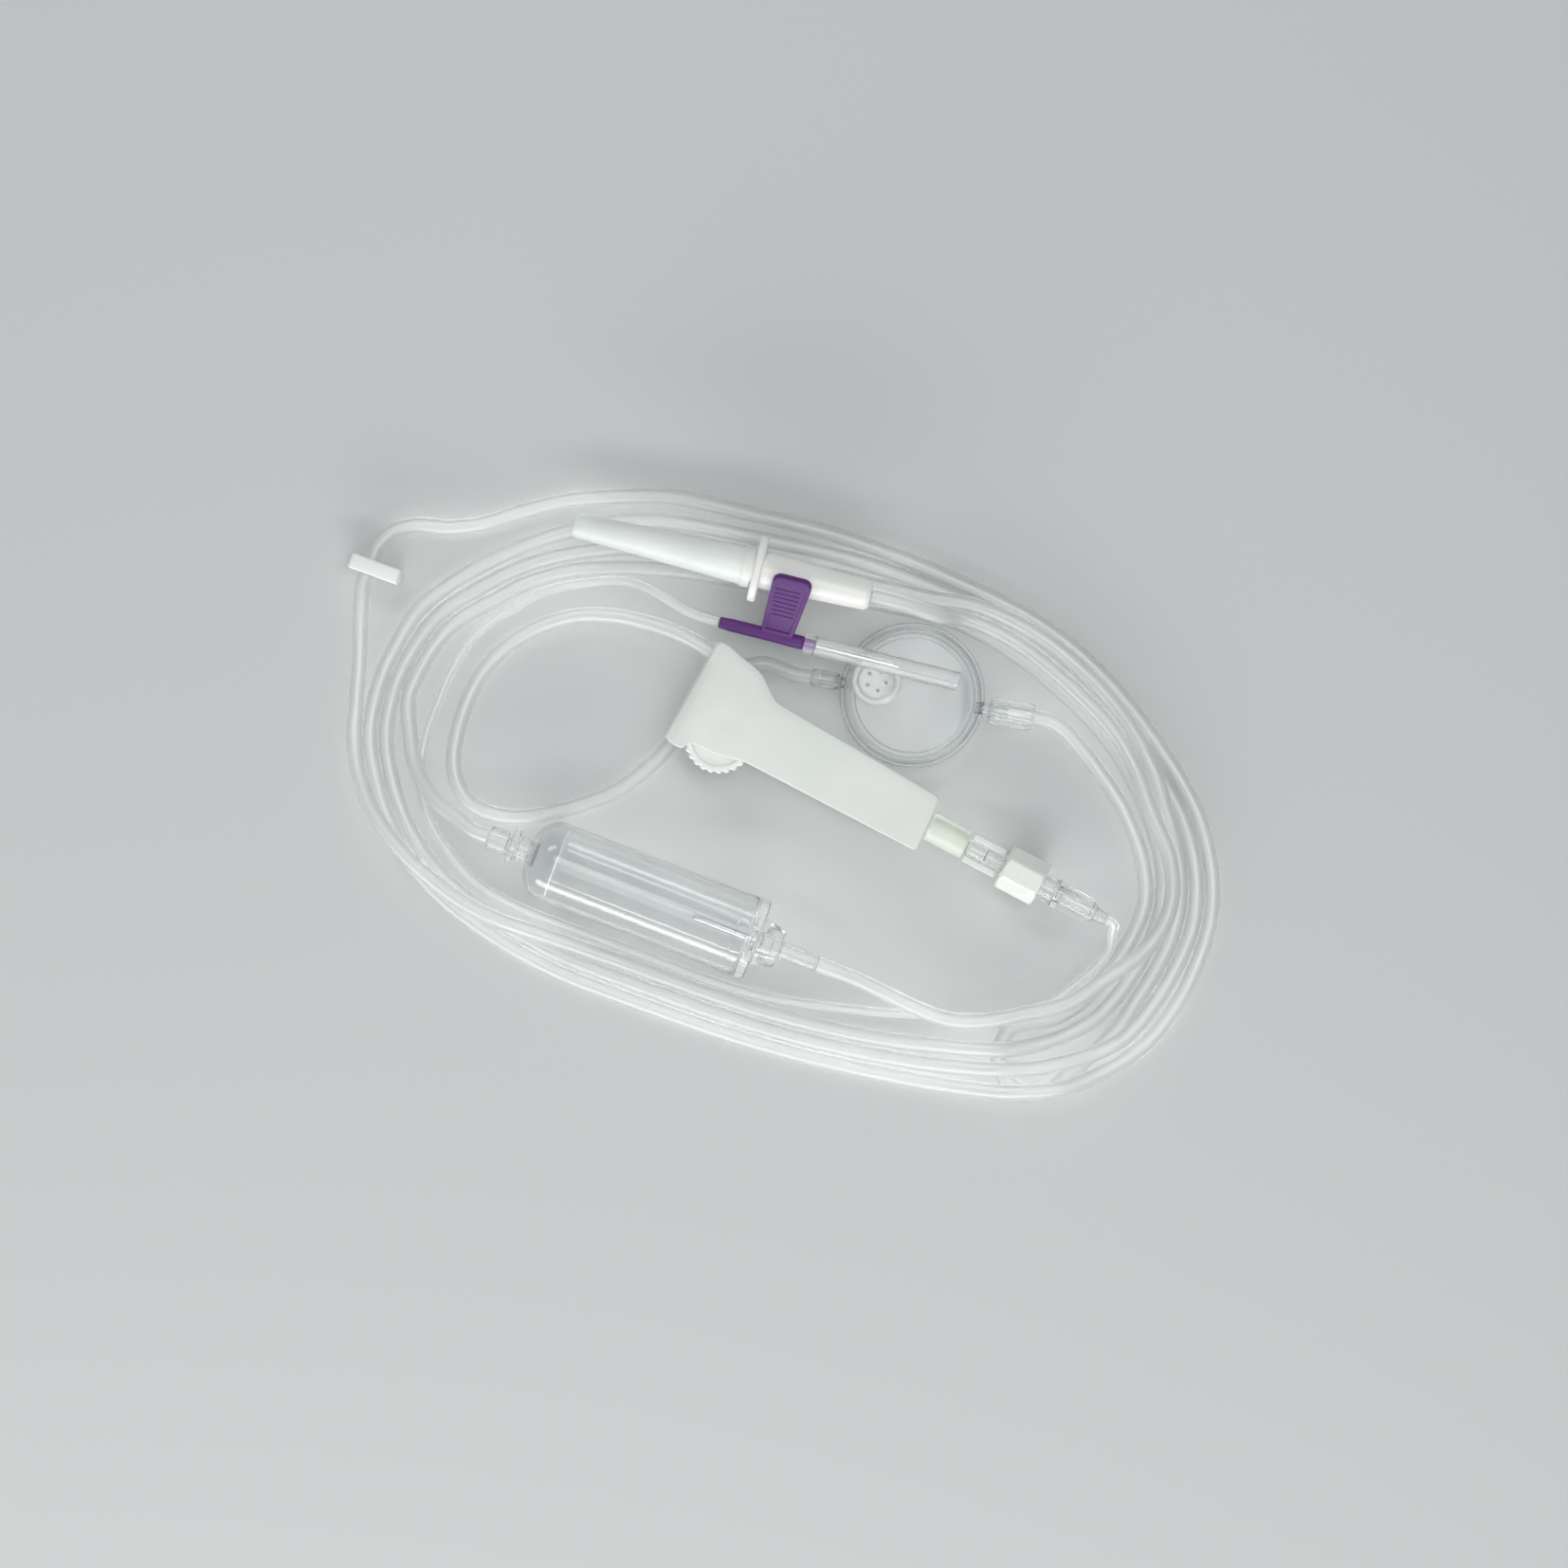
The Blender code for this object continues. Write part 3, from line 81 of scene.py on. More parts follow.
PLACES = {
    "spike": (-0.0681, 0.0414, 0.0129, 6.5, 0.0, 0.0),
    "needle": (-0.0283, 0.0318, 0.0102, 6.0, 0.0, 0.0),
    "wing": (-0.0283, 0.0318, 0.0102, 6.0, 0.0, 34.0),
    "filter": (0.0197, 0.0313, 0.0, 9.5, 0.0, 0.0),
    "clamp": (-0.0318, 0.0029, CLAMP_RISE, -8.9, CLAMP_PITCH, 0.0),
    "chain": (0.0338, 0.0040, 0.0060, -7.9, 0.0, 0.0),
    "chamber": (-0.0615, -0.0333, 0.0099, -1.2, 0.0, 0.0),
    "slide": (-0.10805, 0.0162, 0.0039, 0.0, 0.0, 0.0),
}


def axes(place):
    """The matrix that takes a piece from its own axes to its place on the floor."""
    x, y, z, turn, pitch, roll = PLACES[place]
    angles = Euler((math.radians(roll), math.radians(pitch), math.radians(turn)))
    return Matrix.Translation(Vector((x, y, z)) + SHIFT) @ angles.to_matrix().to_4x4()


def at(place, along, across=0.0, up=0.0):
    """A point given in a piece's own axes, in world metres."""
    return axes(place) @ Vector((along, across, up))


HUB_END = 0.0712
NOZZLE_END = 0.0817
LUER_END = 0.0467
INLET_END = 0.0289
OUTLET_END = 0.0238
print("places:", ", ".join(sorted(PLACES)))

# %% [markdown]
# ## Camera, floor and lamps
#
# The camera looks straight down, turned 20 degrees, with a long lens. The floor is pale grey so
# that the clear tubing reads a little lighter than what it lies on. A long soft lamp at the foot
# of the picture draws the bright line along the drip chamber's lower edge.

# %% Camera, floor and lamps
CAMERA_SPOT = Vector((0.01565, -0.00325, 1.10))
CAMERA_TURN = math.radians(20.0)

camera = bpy.data.objects.new("camera", bpy.data.cameras.new("camera"))
camera.data.sensor_width = 36.0
camera.data.lens = 107.8
camera.data.clip_start = 0.05
camera.data.clip_end = 10.0
camera.location = CAMERA_SPOT
camera.rotation_euler = (0.0, 0.0, CAMERA_TURN)
bpy.context.scene.collection.objects.link(camera)
bpy.context.scene.camera = camera
bpy.context.scene.view_settings.view_transform = "Standard"

PICTURE_RIGHT = Vector((math.cos(CAMERA_TURN), math.sin(CAMERA_TURN), 0.0))
PICTURE_UP = Vector((-math.sin(CAMERA_TURN), math.cos(CAMERA_TURN), 0.0))


def node_material(name, colour, roughness):
    """A material with one Principled shader, and its node tree, shader and output."""
    material = bpy.data.materials.new(name)
    material.use_nodes = True
    tree = material.node_tree
    shader = tree.nodes["Principled BSDF"]
    shader.inputs["Base Color"].default_value = (*colour, 1.0)
    shader.inputs["Roughness"].default_value = roughness
    return material, tree, shader, tree.nodes["Material Output"]


def make_floor():
    mesh = bpy.data.meshes.new("floor")
    reach = 2.0
    mesh.from_pydata([(-reach, -reach, 0), (reach, -reach, 0), (reach, reach, 0), (-reach, reach, 0)],
                     [], [(0, 1, 2, 3)])
    floor = bpy.data.objects.new("floor", mesh)
    material, tree, shader, output = node_material("floor_paint", (0.60, 0.61, 0.60), 0.7)
    noise = tree.nodes.new("ShaderNodeTexNoise")
    noise.inputs["Scale"].default_value = 1.2
    ramp = tree.nodes.new("ShaderNodeValToRGB")
    ramp.color_ramp.elements[0].color = (0.585, 0.595, 0.59, 1.0)
    ramp.color_ramp.elements[1].color = (0.615, 0.625, 0.62, 1.0)
    tree.links.new(noise.outputs["Fac"], ramp.inputs["Fac"])
    tree.links.new(ramp.outputs["Color"], shader.inputs["Base Color"])
    mesh.materials.append(material)
    bpy.context.scene.collection.objects.link(floor)
    return floor


def make_lamp(name, right, up, height, size, power, aim=(0.0, 0.0)):
    """A soft rectangular lamp placed by picture directions, aimed near the set's middle."""
    lamp = bpy.data.lights.new(name, "AREA")
    lamp.shape = "RECTANGLE"
    lamp.size, lamp.size_y = size
    lamp.energy = power
    thing = bpy.data.objects.new(name, lamp)
    middle = Vector((CAMERA_SPOT.x, CAMERA_SPOT.y, 0.0))
    spot = middle + PICTURE_RIGHT * right + PICTURE_UP * up + Vector((0, 0, height))
    target = middle + PICTURE_RIGHT * aim[0] + PICTURE_UP * aim[1]
    away = (spot - target).normalized()
    side = PICTURE_RIGHT - away * PICTURE_RIGHT.dot(away)
    side.normalize()
    over = away.cross(side)
    thing.matrix_world = Matrix((
        (side.x, over.x, away.x, spot.x), (side.y, over.y, away.y, spot.y),
        (side.z, over.z, away.z, spot.z), (0, 0, 0, 1)))
    bpy.context.scene.collection.objects.link(thing)
    return thing


make_floor()
make_lamp("foot_lamp", 0.05, -0.75, 0.62, (0.9, 0.10), 2.2)
make_lamp("edge_lamp", -0.30, -0.72, 0.20, (1.1, 0.18), 4.4)
make_lamp("head_lamp", -0.30, 0.80, 0.80, (0.7, 0.20), 2.4)
make_lamp("sky_lamp", 0.30, 0.10, 1.40, (0.8, 0.8), 5.0)

world = bpy.data.worlds.new("studio")
world.use_nodes = True
world.node_tree.nodes["Background"].inputs["Color"].default_value = (0.80, 0.83, 0.86, 1.0)
world.node_tree.nodes["Background"].inputs["Strength"].default_value = 0.38
bpy.context.scene.world = world
print("camera at", tuple(round(v, 4) for v in camera.location), "lamps: 4")
# %% [markdown]
# ## The tubing's routes
#
# Four tubes lie in the coil, each from one fitting to the next. A long tube is described by stops:
# an angle round the coil's centre, a lane from 0 at the outer edge to 1 at the inner edge, and a
# rough height. The next cell lets these first routes settle under their own weight.
#
# All numbers in this cell and the next are in millimetres.

# %% First routes of the tubing
OUTER_EDGE = [
    (-101.3, -23.6), (-103.0, -4.0), (-99.8, 14.7), (-85.6, 34.0), (-67.8, 50.0), (-51.5, 57.1),
    (-29.1, 60.5), (-6.4, 62.9), (17.5, 62.1), (42.2, 59.3), (64.2, 50.8), (82.8, 38.6),
    (97.2, 25.0), (104.6, 11.1), (106.8, -4.6), (103.5, -24.7), (92.3, -39.4), (76.8, -48.6),
    (54.8, -55.0), (24.6, -59.0), (-11.3, -60.0), (-40.5, -59.0), (-65.9, -53.5), (-87.0, -42.0),
]
INNER_EDGE = [
    (-82.0, -15.7), (-81.5, -2.0), (-79.5, 8.5), (-73.0, 18.0), (-64.0, 26.5), (-47.0, 33.8),
    (-25.0, 39.0), (0.5, 45.5), (22.9, 49.3), (45.4, 45.0), (63.3, 35.2), (76.6, 21.2),
    (84.5, 2.2), (76.5, -20.8), (63.3, -31.8), (45.0, -37.5), (30.9, -41.0), (8.0, -44.8),
    (-20.0, -45.3), (-50.0, -45.2), (-64.0, -41.5), (-75.5, -33.0), (-80.5, -24.0),
]
COIL_CENTRE = np.array([2.0, 2.0])
HAIRPIN = (75.6, -38.4, 8.4)
THICK = TUBE_RADIUS * 1000
THIN = NEEDLE_TUBE_RADIUS * 1000


def edge_radius(points):
    """Angles and radii of a closed smooth curve through the points, seen from the coil's centre."""
    known = np.array(points, float)
    count = len(known)
    pieces = []
    for i in range(count):
        a, b, c, d = known[i - 1], known[i], known[(i + 1) % count], known[(i + 2) % count]
        t = np.arange(16)[:, None] / 16
        pieces.append(0.5 * (2 * b + (c - a) * t + (2 * a - 5 * b + 4 * c - d) * t**2
                             + (3 * b - a - 3 * c + d) * t**3))
    arms = np.vstack(pieces) - COIL_CENTRE
    angle = np.arctan2(arms[:, 1], arms[:, 0])
    radius = np.hypot(arms[:, 0], arms[:, 1])
    order = np.argsort(angle)
    angle, radius = angle[order], radius[order]
    angle = np.concatenate([angle[-1:] - 2 * np.pi, angle, angle[:1] + 2 * np.pi])
    return angle, np.concatenate([radius[-1:], radius, radius[:1]])


OUTER = edge_radius(OUTER_EDGE)
INNER = edge_radius(INNER_EDGE)


def round_the_coil(stops, step=6.0):
    """Points along a run round the coil, eased from stop to stop."""
    stops = np.array(stops, float)
    count = max(2, int(abs(stops[-1, 0] - stops[0, 0]) / step))
    turn = np.linspace(stops[0, 0], stops[-1, 0], count + 1)
    table = stops[np.argsort(stops[:, 0])]
    low = np.clip(np.searchsorted(table[:, 0], turn) - 1, 0, len(table) - 2)
    share = np.clip((turn - table[low, 0]) / (table[low + 1, 0] - table[low, 0]), 0, 1)
    share = (share * share * (3 - 2 * share))[:, None]
    lane, height = (table[low, 1:] + (table[low + 1, 1:] - table[low, 1:]) * share).T
    angle = np.radians(turn)
    wrapped = (angle + np.pi) % (2 * np.pi) - np.pi
    far = np.interp(wrapped, *OUTER) - 2.15
    near = np.interp(wrapped, *INNER) + 2.15
    radius = far + lane * (near - far)
    x, y = COIL_CENTRE[0] + radius * np.cos(angle), COIL_CENTRE[1] + radius * np.sin(angle)
    return list(zip(x.tolist(), y.tolist(), height.tolist()))


def fitting(place, along, across=0.0, up=0.0):
    """A point on a fitting's axis, in layout millimetres."""
    return tuple((at(place, along, across, up) - SHIFT) * 1000)


def spike_to_chamber():
    run = [fitting("spike", HUB_END + 0.0003), fitting("spike", HUB_END + 0.004),
           fitting("spike", HUB_END + 0.009), (20.5, 51.3, 10.2)]
    run += round_the_coil([(66, 0.80, 6.5), (45, 0.78, 5.8), (25, 0.62, 5.6), (10, 0.55, 5.6),
                           (0, 0.62, 5.6), (-12, 0.85, 5.6), (-26, 0.95, 5.6)], 7)
    return run + [(62.0, -34.8, 5.6), (54.5, -36.8, 5.8), (46.0, -37.0, 6.6), (37.5, -36.1, 7.9),
                  (29.5, -35.3, 9.2),
                  fitting("chamber", NOZZLE_END + 0.004), fitting("chamber", NOZZLE_END + 0.0003)]


def chamber_to_filter():
    """Down from the chamber, once round to the slide clamp, round the coil, and back up."""
    run = [fitting("chamber", -0.0003), fitting("chamber", -0.004), (-69.0, -32.0, 9.8),
           (-76.0, -30.0, 9.8), (-83.5, -24.0, 9.8), (-89.0, -16.0, 9.6)]
    run += round_the_coil([
        (186, 0.45, 8.8), (165, 0.75, 5.8), (140, 0.85, 5.0), (115, 0.90, 2.0), (90, 0.95, 2.0),
        (60, 0.98, 2.0), (45, 0.98, 2.0), (25, 0.72, 2.0), (0, 0.68, 2.0), (-20, 0.62, 5.0),
        (-35, 0.62, 5.8), (-50, 0.62, 5.6), (-80, 0.66, 2.0), (-110, 0.62, 5.6), (-135, 0.40, 5.6),
        (-155, 0.12, 5.0), (-168, 0.0, 2.0)])
    run += [(-104.3, -6.0, 2.0), (-107.2, 3.0, 2.8), (-109.6, 11.7, 3.9), (-109.6, 16.2, 3.9),
            (-109.6, 20.7, 3.9), (-107.5, 25.7, 3.4), (-103.2, 29.0, 2.8), (-96.0, 31.0, 2.2),
            (-88.6, 34.6, 2.0), (-80.6, 40.6, 2.0), (-70.5, 47.3, 2.0)]
    run += round_the_coil([
        (-220, 0.0, 2.0), (-250, 0.0, 2.0), (-270, 0.02, 2.0), (-315, 0.02, 2.0),
        (-360, 0.04, 2.0), (-378, 0.06, 5.6), (-410, 0.06, 5.6), (-440, 0.04, 2.0),
        (-475, 0.02, 2.0), (-495, 0.06, 2.0), (-515, 0.16, 2.0), (-540, 0.20, 2.0),
        (-560, 0.26, 2.0), (-590, 0.30, 2.0), (-630, 0.32, 2.0), (-660, 0.42, 2.0),
        (-675, 0.50, 2.0), (-700, 0.34, 2.0), (-720, 0.26, 2.0), (-732, 0.30, 5.6),
        (-770, 0.34, 5.6), (-800, 0.34, 2.0), (-855, 0.42, 2.0), (-880, 0.44, 2.0),
        (-900, 0.50, 2.0), (-920, 0.56, 2.0), (-950, 0.62, 2.0), (-990, 0.64, 2.0),
        (-1020, 0.45, 5.6), (-1035, 0.30, 5.6), (-1055, 0.38, 5.6), (-1070, 0.47, 3.5),
        (-1080, 0.47, 2.0), (-1092, 0.42, 2.0), (-1104, 0.22, 2.0)])[1:]
    run += [(HAIRPIN[0] + HAIRPIN[2] * math.cos(math.radians(a)),
             HAIRPIN[1] + HAIRPIN[2] * math.sin(math.radians(a)), 2.0)
            for a in range(-35, -186, -15)]
    run += [(68.2, -33.6, 2.0)]
    run += round_the_coil([(-22, 0.86, 2.0), (-10, 0.90, 2.0), (0, 0.94, 2.0), (8, 1.0, 2.0)])
    return run + [(79.5, 18.6, 2.2), (75.2, 23.2, 2.6), (70.6, 26.9, 3.2), (65.8, 30.2, 3.6),
                  (60.6, 33.4, 3.9), (56.4, 35.6, 3.9),
                  fitting("filter", INLET_END + 0.004, 0, 0.0039),
                  fitting("filter", INLET_END + 0.0003, 0, 0.0039)]


def filter_to_clamp():
    """The loose loop inside the coil, through the clamp's head and along its trough."""
    run = [fitting("filter", -OUTLET_END - 0.0003, 0, 0.0024),
           fitting("filter", -OUTLET_END - 0.004, 0, 0.0024),
           (-16.6, 26.1, 2.0), (-23.5, 17.0, 2.0), (-27.8, 7.0, 2.0), (-30.6, -2.0, 2.0),
           (-37.0, -12.5, 2.0), (-47.1, -21.2, 2.0), (-59.0, -27.5, 2.0), (-69.0, -27.5, 2.0),
           (-75.0, -21.5, 2.0), (-77.5, -10.0, 2.0), (-76.2, 3.0, 2.0), (-70.5, 13.5, 2.8),
           (-61.0, 21.5, 4.8), (-50.0, 25.2, 7.8)]
    run += [fitting("clamp", x, y, 0.0062) for x, y in (
        (-0.0080, 0.0222), (0.0, 0.0222), (0.0030, 0.0220), (0.0080, 0.0203), (0.0130, 0.0177),
        (0.0180, 0.0154), (0.0240, 0.0149), (0.0340, 0.0148), (0.0450, 0.0142), (0.0560, 0.0130))]
    return run + [fitting("chain", -0.0035), fitting("chain", -0.0003)]


def luer_to_needle():
    run = [fitting("chain", LUER_END + 0.0003), fitting("chain", LUER_END + 0.0022),
           (82.6, -5.0, 4.4), (83.4, -9.5, 2.6)]
    run += round_the_coil([(-16, 1.06, 1.3), (-45, 1.03, 1.3), (-90, 1.0, 1.3), (-135, 1.03, 1.3),
                           (-180, 1.0, 1.3), (-204, 1.0, 4.6)])
    return run + [(-52.0, 33.6, 7.4), (-44.0, 33.2, 9.3), (-37.0, 31.7, 9.9),
                  fitting("needle", -0.004), fitting("needle", -0.0003)]


ROUTES = [
    ("tube_to_chamber", spike_to_chamber(), THICK),
    ("tube_to_filter", chamber_to_filter(), THICK),
    ("tube_to_clamp", filter_to_clamp(), THICK),
    ("needle_tube", luer_to_needle(), THIN),
]
print("routes:", [(name, len(run)) for name, run, radius in ROUTES])

# %% [markdown]
# ## Let the tubing settle
#
# Each tube becomes a chain of points 2 mm apart. In every step the points sink a little, are drawn
# towards their first route, and keep their bends gentle. Points of two tubes that come closer than
# the tubes are thick push each other away, and nothing leaves the floor or the coil's band. The
# fittings' ends, the short stretch in the slide clamp and the loop through the roller clamp stay put.

# %% Let the tubing settle
SPACING = 2.0
STEPS = 320


def evenly(points, spacing):
    """The same line, cut into even steps."""
    run = np.concatenate([[0], np.cumsum(np.linalg.norm(np.diff(points, axis=0), axis=1))])
    where = np.linspace(0, run[-1], max(2, int(round(run[-1] / spacing))) + 1)
    return np.stack([np.interp(where, run, points[:, k]) for k in range(3)], 1)


def smooth_line(points, spacing):
    """A centripetal Catmull-Rom curve through the points, cut into even steps."""
    known = np.array(points, float)
    known = np.vstack([2 * known[0] - known[1], known, 2 * known[-1] - known[-2]])
    fine = []
    for i in range(1, len(known) - 2):
        a, b, c, d = known[i - 1:i + 3]
        t1 = max(np.linalg.norm(b - a), 1e-6) ** 0.5
        t2 = t1 + max(np.linalg.norm(c - b), 1e-6) ** 0.5
        t3 = t2 + max(np.linalg.norm(d - c), 1e-6) ** 0.5
        t = np.linspace(t1, t2, 20, endpoint=False)[:, None]
        ab = (t1 - t) / t1 * a + t / t1 * b
        bc = (t2 - t) / (t2 - t1) * b + (t - t1) / (t2 - t1) * c
        cd = (t3 - t) / (t3 - t2) * c + (t - t2) / (t3 - t2) * d
        left = (t2 - t) / t2 * ab + t / t2 * bc
        right = (t3 - t) / (t3 - t1) * bc + (t - t1) / (t3 - t1) * cd
        fine.append((t2 - t) / (t2 - t1) * left + (t - t1) / (t2 - t1) * right)
    return evenly(np.vstack(fine + [known[-2][None]]), spacing)


def band_radii(points):
    """Each point's arm from the coil's centre, its length, and the band's inner and outer radius."""
    arms = points[:, :2] - COIL_CENTRE
    angle = np.arctan2(arms[:, 1], arms[:, 0])
    return arms, np.hypot(arms[:, 0], arms[:, 1]), np.interp(angle, *INNER), np.interp(angle, *OUTER)


def fixed_points(strands, rest):
    """Marks what stays put, and what may rise above the coil because it comes from a fitting."""
    free, above = [], []
    for k, line in enumerate(strands):
        one, over = np.ones(len(line)), np.zeros(len(line), bool)
        one[:3] = one[-3:] = 0.0
        if k == 2:
            one[:] = 0.0
        if k == 1:
            turn = np.hypot(line[:, 0] - HAIRPIN[0], line[:, 1] - HAIRPIN[1])
            held = np.flatnonzero((np.abs(turn - HAIRPIN[2]) < 0.3) & (line[:, 2] < 2.1))
            away = np.abs(np.arange(len(line))[:, None] - held[None]).min(1)
            one = np.minimum(one, away / 9.0)
        over[:(14, 26, 0, 4)[k]] = True
        over[len(line) - (42, 22, 0, 20)[k]:] = True
        free.append(one)
        above.append(over)
    free, above = np.concatenate(free), np.concatenate(above)
    free[(np.abs(rest[:, 0] + 109.6) < 0.6) & (np.abs(rest[:, 1] - 16.2) < 4.0)] = 0.0
    return free, above


def settle(routes):
    """Lets all strands sink and push each other apart together, and returns their points."""
    strands = [smooth_line(run, SPACING) for name, run, radius in routes]
    rest = np.vstack(strands)
    size = np.concatenate([np.full(len(s), r[2]) for s, r in zip(strands, routes)])
    owner = np.concatenate([np.full(len(s), k) for k, s in enumerate(strands)])
    place = np.concatenate([np.arange(len(s)) for s in strands])
    free, above = fixed_points(strands, rest)
    every = np.arange(len(rest))
    after, before = np.minimum(every + 1, len(rest) - 1), np.maximum(every - 1, 0)
    firsts = np.flatnonzero(place == 0)
    lasts = np.append(firsts[1:], len(rest)) - 1
    before[firsts], after[lasts] = firsts, lasts
    arms, radius, near, far = band_radii(rest)
    inside = (radius < far - size * 0.8) & (radius > near + size * 0.8) & ~above & (free > 0)
    points = rest.copy()
    points[:, 2] += free * 1.2 * place / np.array([len(s) for s in strands])[owner]
    for step in range(STEPS):
        if step % 8 == 0:
            apart = ((points[:, None] - points[None]) ** 2).sum(-1)
            close = apart < (size[:, None] + size[None] + 1.6) ** 2
            close &= every[:, None] < every[None]
            close &= ~((owner[:, None] == owner[None]) & (np.abs(place[:, None] - place[None]) < 6))
            first, second = np.nonzero(close)
        cool = 1.0 if step < STEPS * 0.7 else max(0.15, 1 - (step / STEPS - 0.7) / 0.3)
        points[:, 2] -= 0.05 * cool * free
        points[:, :2] += 0.02 * cool * (rest - points)[:, :2] * free[:, None]
        moved = points - rest
        points += 0.45 * (0.5 * (moved[after] + moved[before]) - moved) * free[:, None]
        points[:, 2] += 0.35 * (0.5 * (points[after, 2] + points[before, 2]) - points[:, 2]) * free
        for _ in range(3):
            push_apart(points, first, second, size, free)
            keep_in_band(points, size, free, inside)
    return [points[owner == k] for k in range(len(strands))]


def push_apart(points, first, second, size, free):
    """Moves pairs of points that are closer than the tubes are thick."""
    across = points[second] - points[first]
    length = np.linalg.norm(across, axis=1) + 1e-9
    need = size[first] + size[second] + 0.12 - length
    hit = need > 0
    i, j = first[hit], second[hit]
    move = across[hit] * (need[hit] / length[hit] * 0.5)[:, None]
    total = np.maximum(free[i] + free[j], 1.0)
    push, count = np.zeros_like(points), np.zeros(len(points))
    np.add.at(push, i, -move * (2 * free[i] / total)[:, None])
    np.add.at(push, j, move * (2 * free[j] / total)[:, None])
    np.add.at(count, i, 1)
    np.add.at(count, j, 1)
    points += push / np.maximum(1, count * 0.6)[:, None]


def keep_in_band(points, size, free, inside):
    """Holds points above the floor, under the coil's height and between its two edges."""
    floor = np.maximum(points[:, 2], size + 0.12)
    points[:, 2] = np.where(free > 0, floor, points[:, 2])
    points[:, 2] = np.where(inside, np.minimum(points[:, 2], 7.75 - size), points[:, 2])
    arms, radius, near, far = band_radii(points)
    kept = np.clip(radius, near + size + 0.05, far - size - 0.05)
    share = np.where(inside, kept / radius, 1.0)[:, None]
    points[:, :2] = COIL_CENTRE + arms * share


LINES = {}
for (name, run, radius), line in zip(ROUTES, settle(ROUTES)):
    LINES[name] = line / 1000 + np.array(SHIFT)
    length = np.linalg.norm(np.diff(LINES[name], axis=0), axis=1).sum()
    print(name, "length %.3f m" % length, "heights %.1f to %.1f mm" % (line[:, 2].min(), line[:, 2].max()))
# %% [markdown]
# ## Tubes with a wall and a bore
#
# Every tube is a real tube: an outer skin, a bore, and ring-shaped ends. Rings are carried along
# the line without twist, so the skin stays even round every bend.

# %% Tube meshes
def carried_rings(line):
    """Two directions across the line at each of its points, carried along without twist."""
    tangent = np.gradient(line, axis=0)
    tangent /= np.linalg.norm(tangent, axis=1)[:, None]
    side = np.zeros_like(line)
    start = np.cross(tangent[0], (0.0, 0.0, 1.0))
    side[0] = start / np.linalg.norm(start)
    for i in range(1, len(line)):
        turned = side[i - 1] - tangent[i] * np.dot(side[i - 1], tangent[i])
        side[i] = turned / np.linalg.norm(turned)
    return side, np.cross(tangent, side)


def tube_object(name, line, outer, bore, sides=26):
    """A hollow tube along a line, closed by a ring at each end."""
    side, up = carried_rings(line)
    angle = 2 * np.pi * np.arange(sides) / sides
    cosine, sine = np.cos(angle)[None, :, None], np.sin(angle)[None, :, None]
    skins = [line[:, None] + r * (cosine * side[:, None] + sine * up[:, None]) for r in (outer, bore)]
    count = len(line)
    points = np.concatenate([s.reshape(-1, 3) for s in skins])
    i, k = np.meshgrid(np.arange(count - 1), np.arange(sides), indexing="ij")
    a, b = i * sides + k, i * sides + (k + 1) % sides
    outside = np.stack([a, b, b + sides, a + sides], -1).reshape(-1, 4)
    inside = np.stack([a, a + sides, b + sides, b], -1).reshape(-1, 4) + count * sides
    faces = [outside, inside]
    k = np.arange(sides)
    m, bore_start, last = (k + 1) % sides, count * sides, (count - 1) * sides
    faces.append(np.stack([k, k + bore_start, m + bore_start, m], -1))
    faces.append(np.stack([k + last, m + last, m + last + bore_start, k + last + bore_start], -1))
    mesh = bpy.data.meshes.new(name)
    mesh.from_pydata(points.tolist(), [], np.concatenate(faces).tolist())
    mesh.shade_smooth()
    mesh.set_sharp_from_angle(angle=math.radians(50))
    mesh.validate()
    thing = bpy.data.objects.new(name, mesh)
    bpy.context.scene.collection.objects.link(thing)
    return thing


def lay_tube(name, radius, bore, spacing, replaced, slot):
    line = smooth_line(LINES[name] * 1000, spacing) / 1000
    thing = tube_object(name, line, radius, bore)
    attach(thing, "set")
    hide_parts(*replaced)
    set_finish(thing, slot)
    return thing


TUBES = [
    lay_tube("tube_to_chamber", TUBE_RADIUS, TUBE_BORE, 1.5,
             ["spike_tube", "chamber_inlet_tube"], "clear_tubing"),
    lay_tube("tube_to_filter", TUBE_RADIUS, TUBE_BORE, 1.5,
             ["chamber_outlet_tube", "tubing_coil", "slide_clamp_strand", "filter_inlet_tube"],
             "clear_tubing"),
    lay_tube("tube_to_clamp", TUBE_RADIUS, TUBE_BORE, 1.6,
             ["loop_tube", "clamp_tube"], "clear_tubing"),
    lay_tube("needle_tube", NEEDLE_TUBE_RADIUS, NEEDLE_TUBE_BORE, 1.2,
             ["needle_tube_hub_end", "needle_tube_wing_end"], "needle_tubing"),
]
# %% [markdown]
# ## Materials
#
# Two node groups are shared. One gives moulded plastic its faint unevenness, and one gives slow
# streaks along a drawn tube. Both return a height and a roughness. Clear plastics let shadow rays
# pass, so that the floor under them stays light without extra lamps.

# %% Shared texture groups
def new_group(name, outputs, inputs):
    group = bpy.data.node_groups.new(name, "ShaderNodeTree")
    for label, kind in outputs:
        group.interface.new_socket(name=label, in_out="OUTPUT", socket_type=kind)
    for label, value in inputs:
        socket = group.interface.new_socket(name=label, in_out="INPUT", socket_type="NodeSocketFloat")
        socket.default_value = value
    return group, group.nodes.new("NodeGroupInput"), group.nodes.new("NodeGroupOutput")


def noise_node(tree, scale, detail, vector=None):
    noise = tree.nodes.new("ShaderNodeTexNoise")
    noise.inputs["Scale"].default_value = scale
    noise.inputs["Detail"].default_value = detail
    if vector is not None:
        tree.links.new(vector, noise.inputs["Vector"])
    return noise


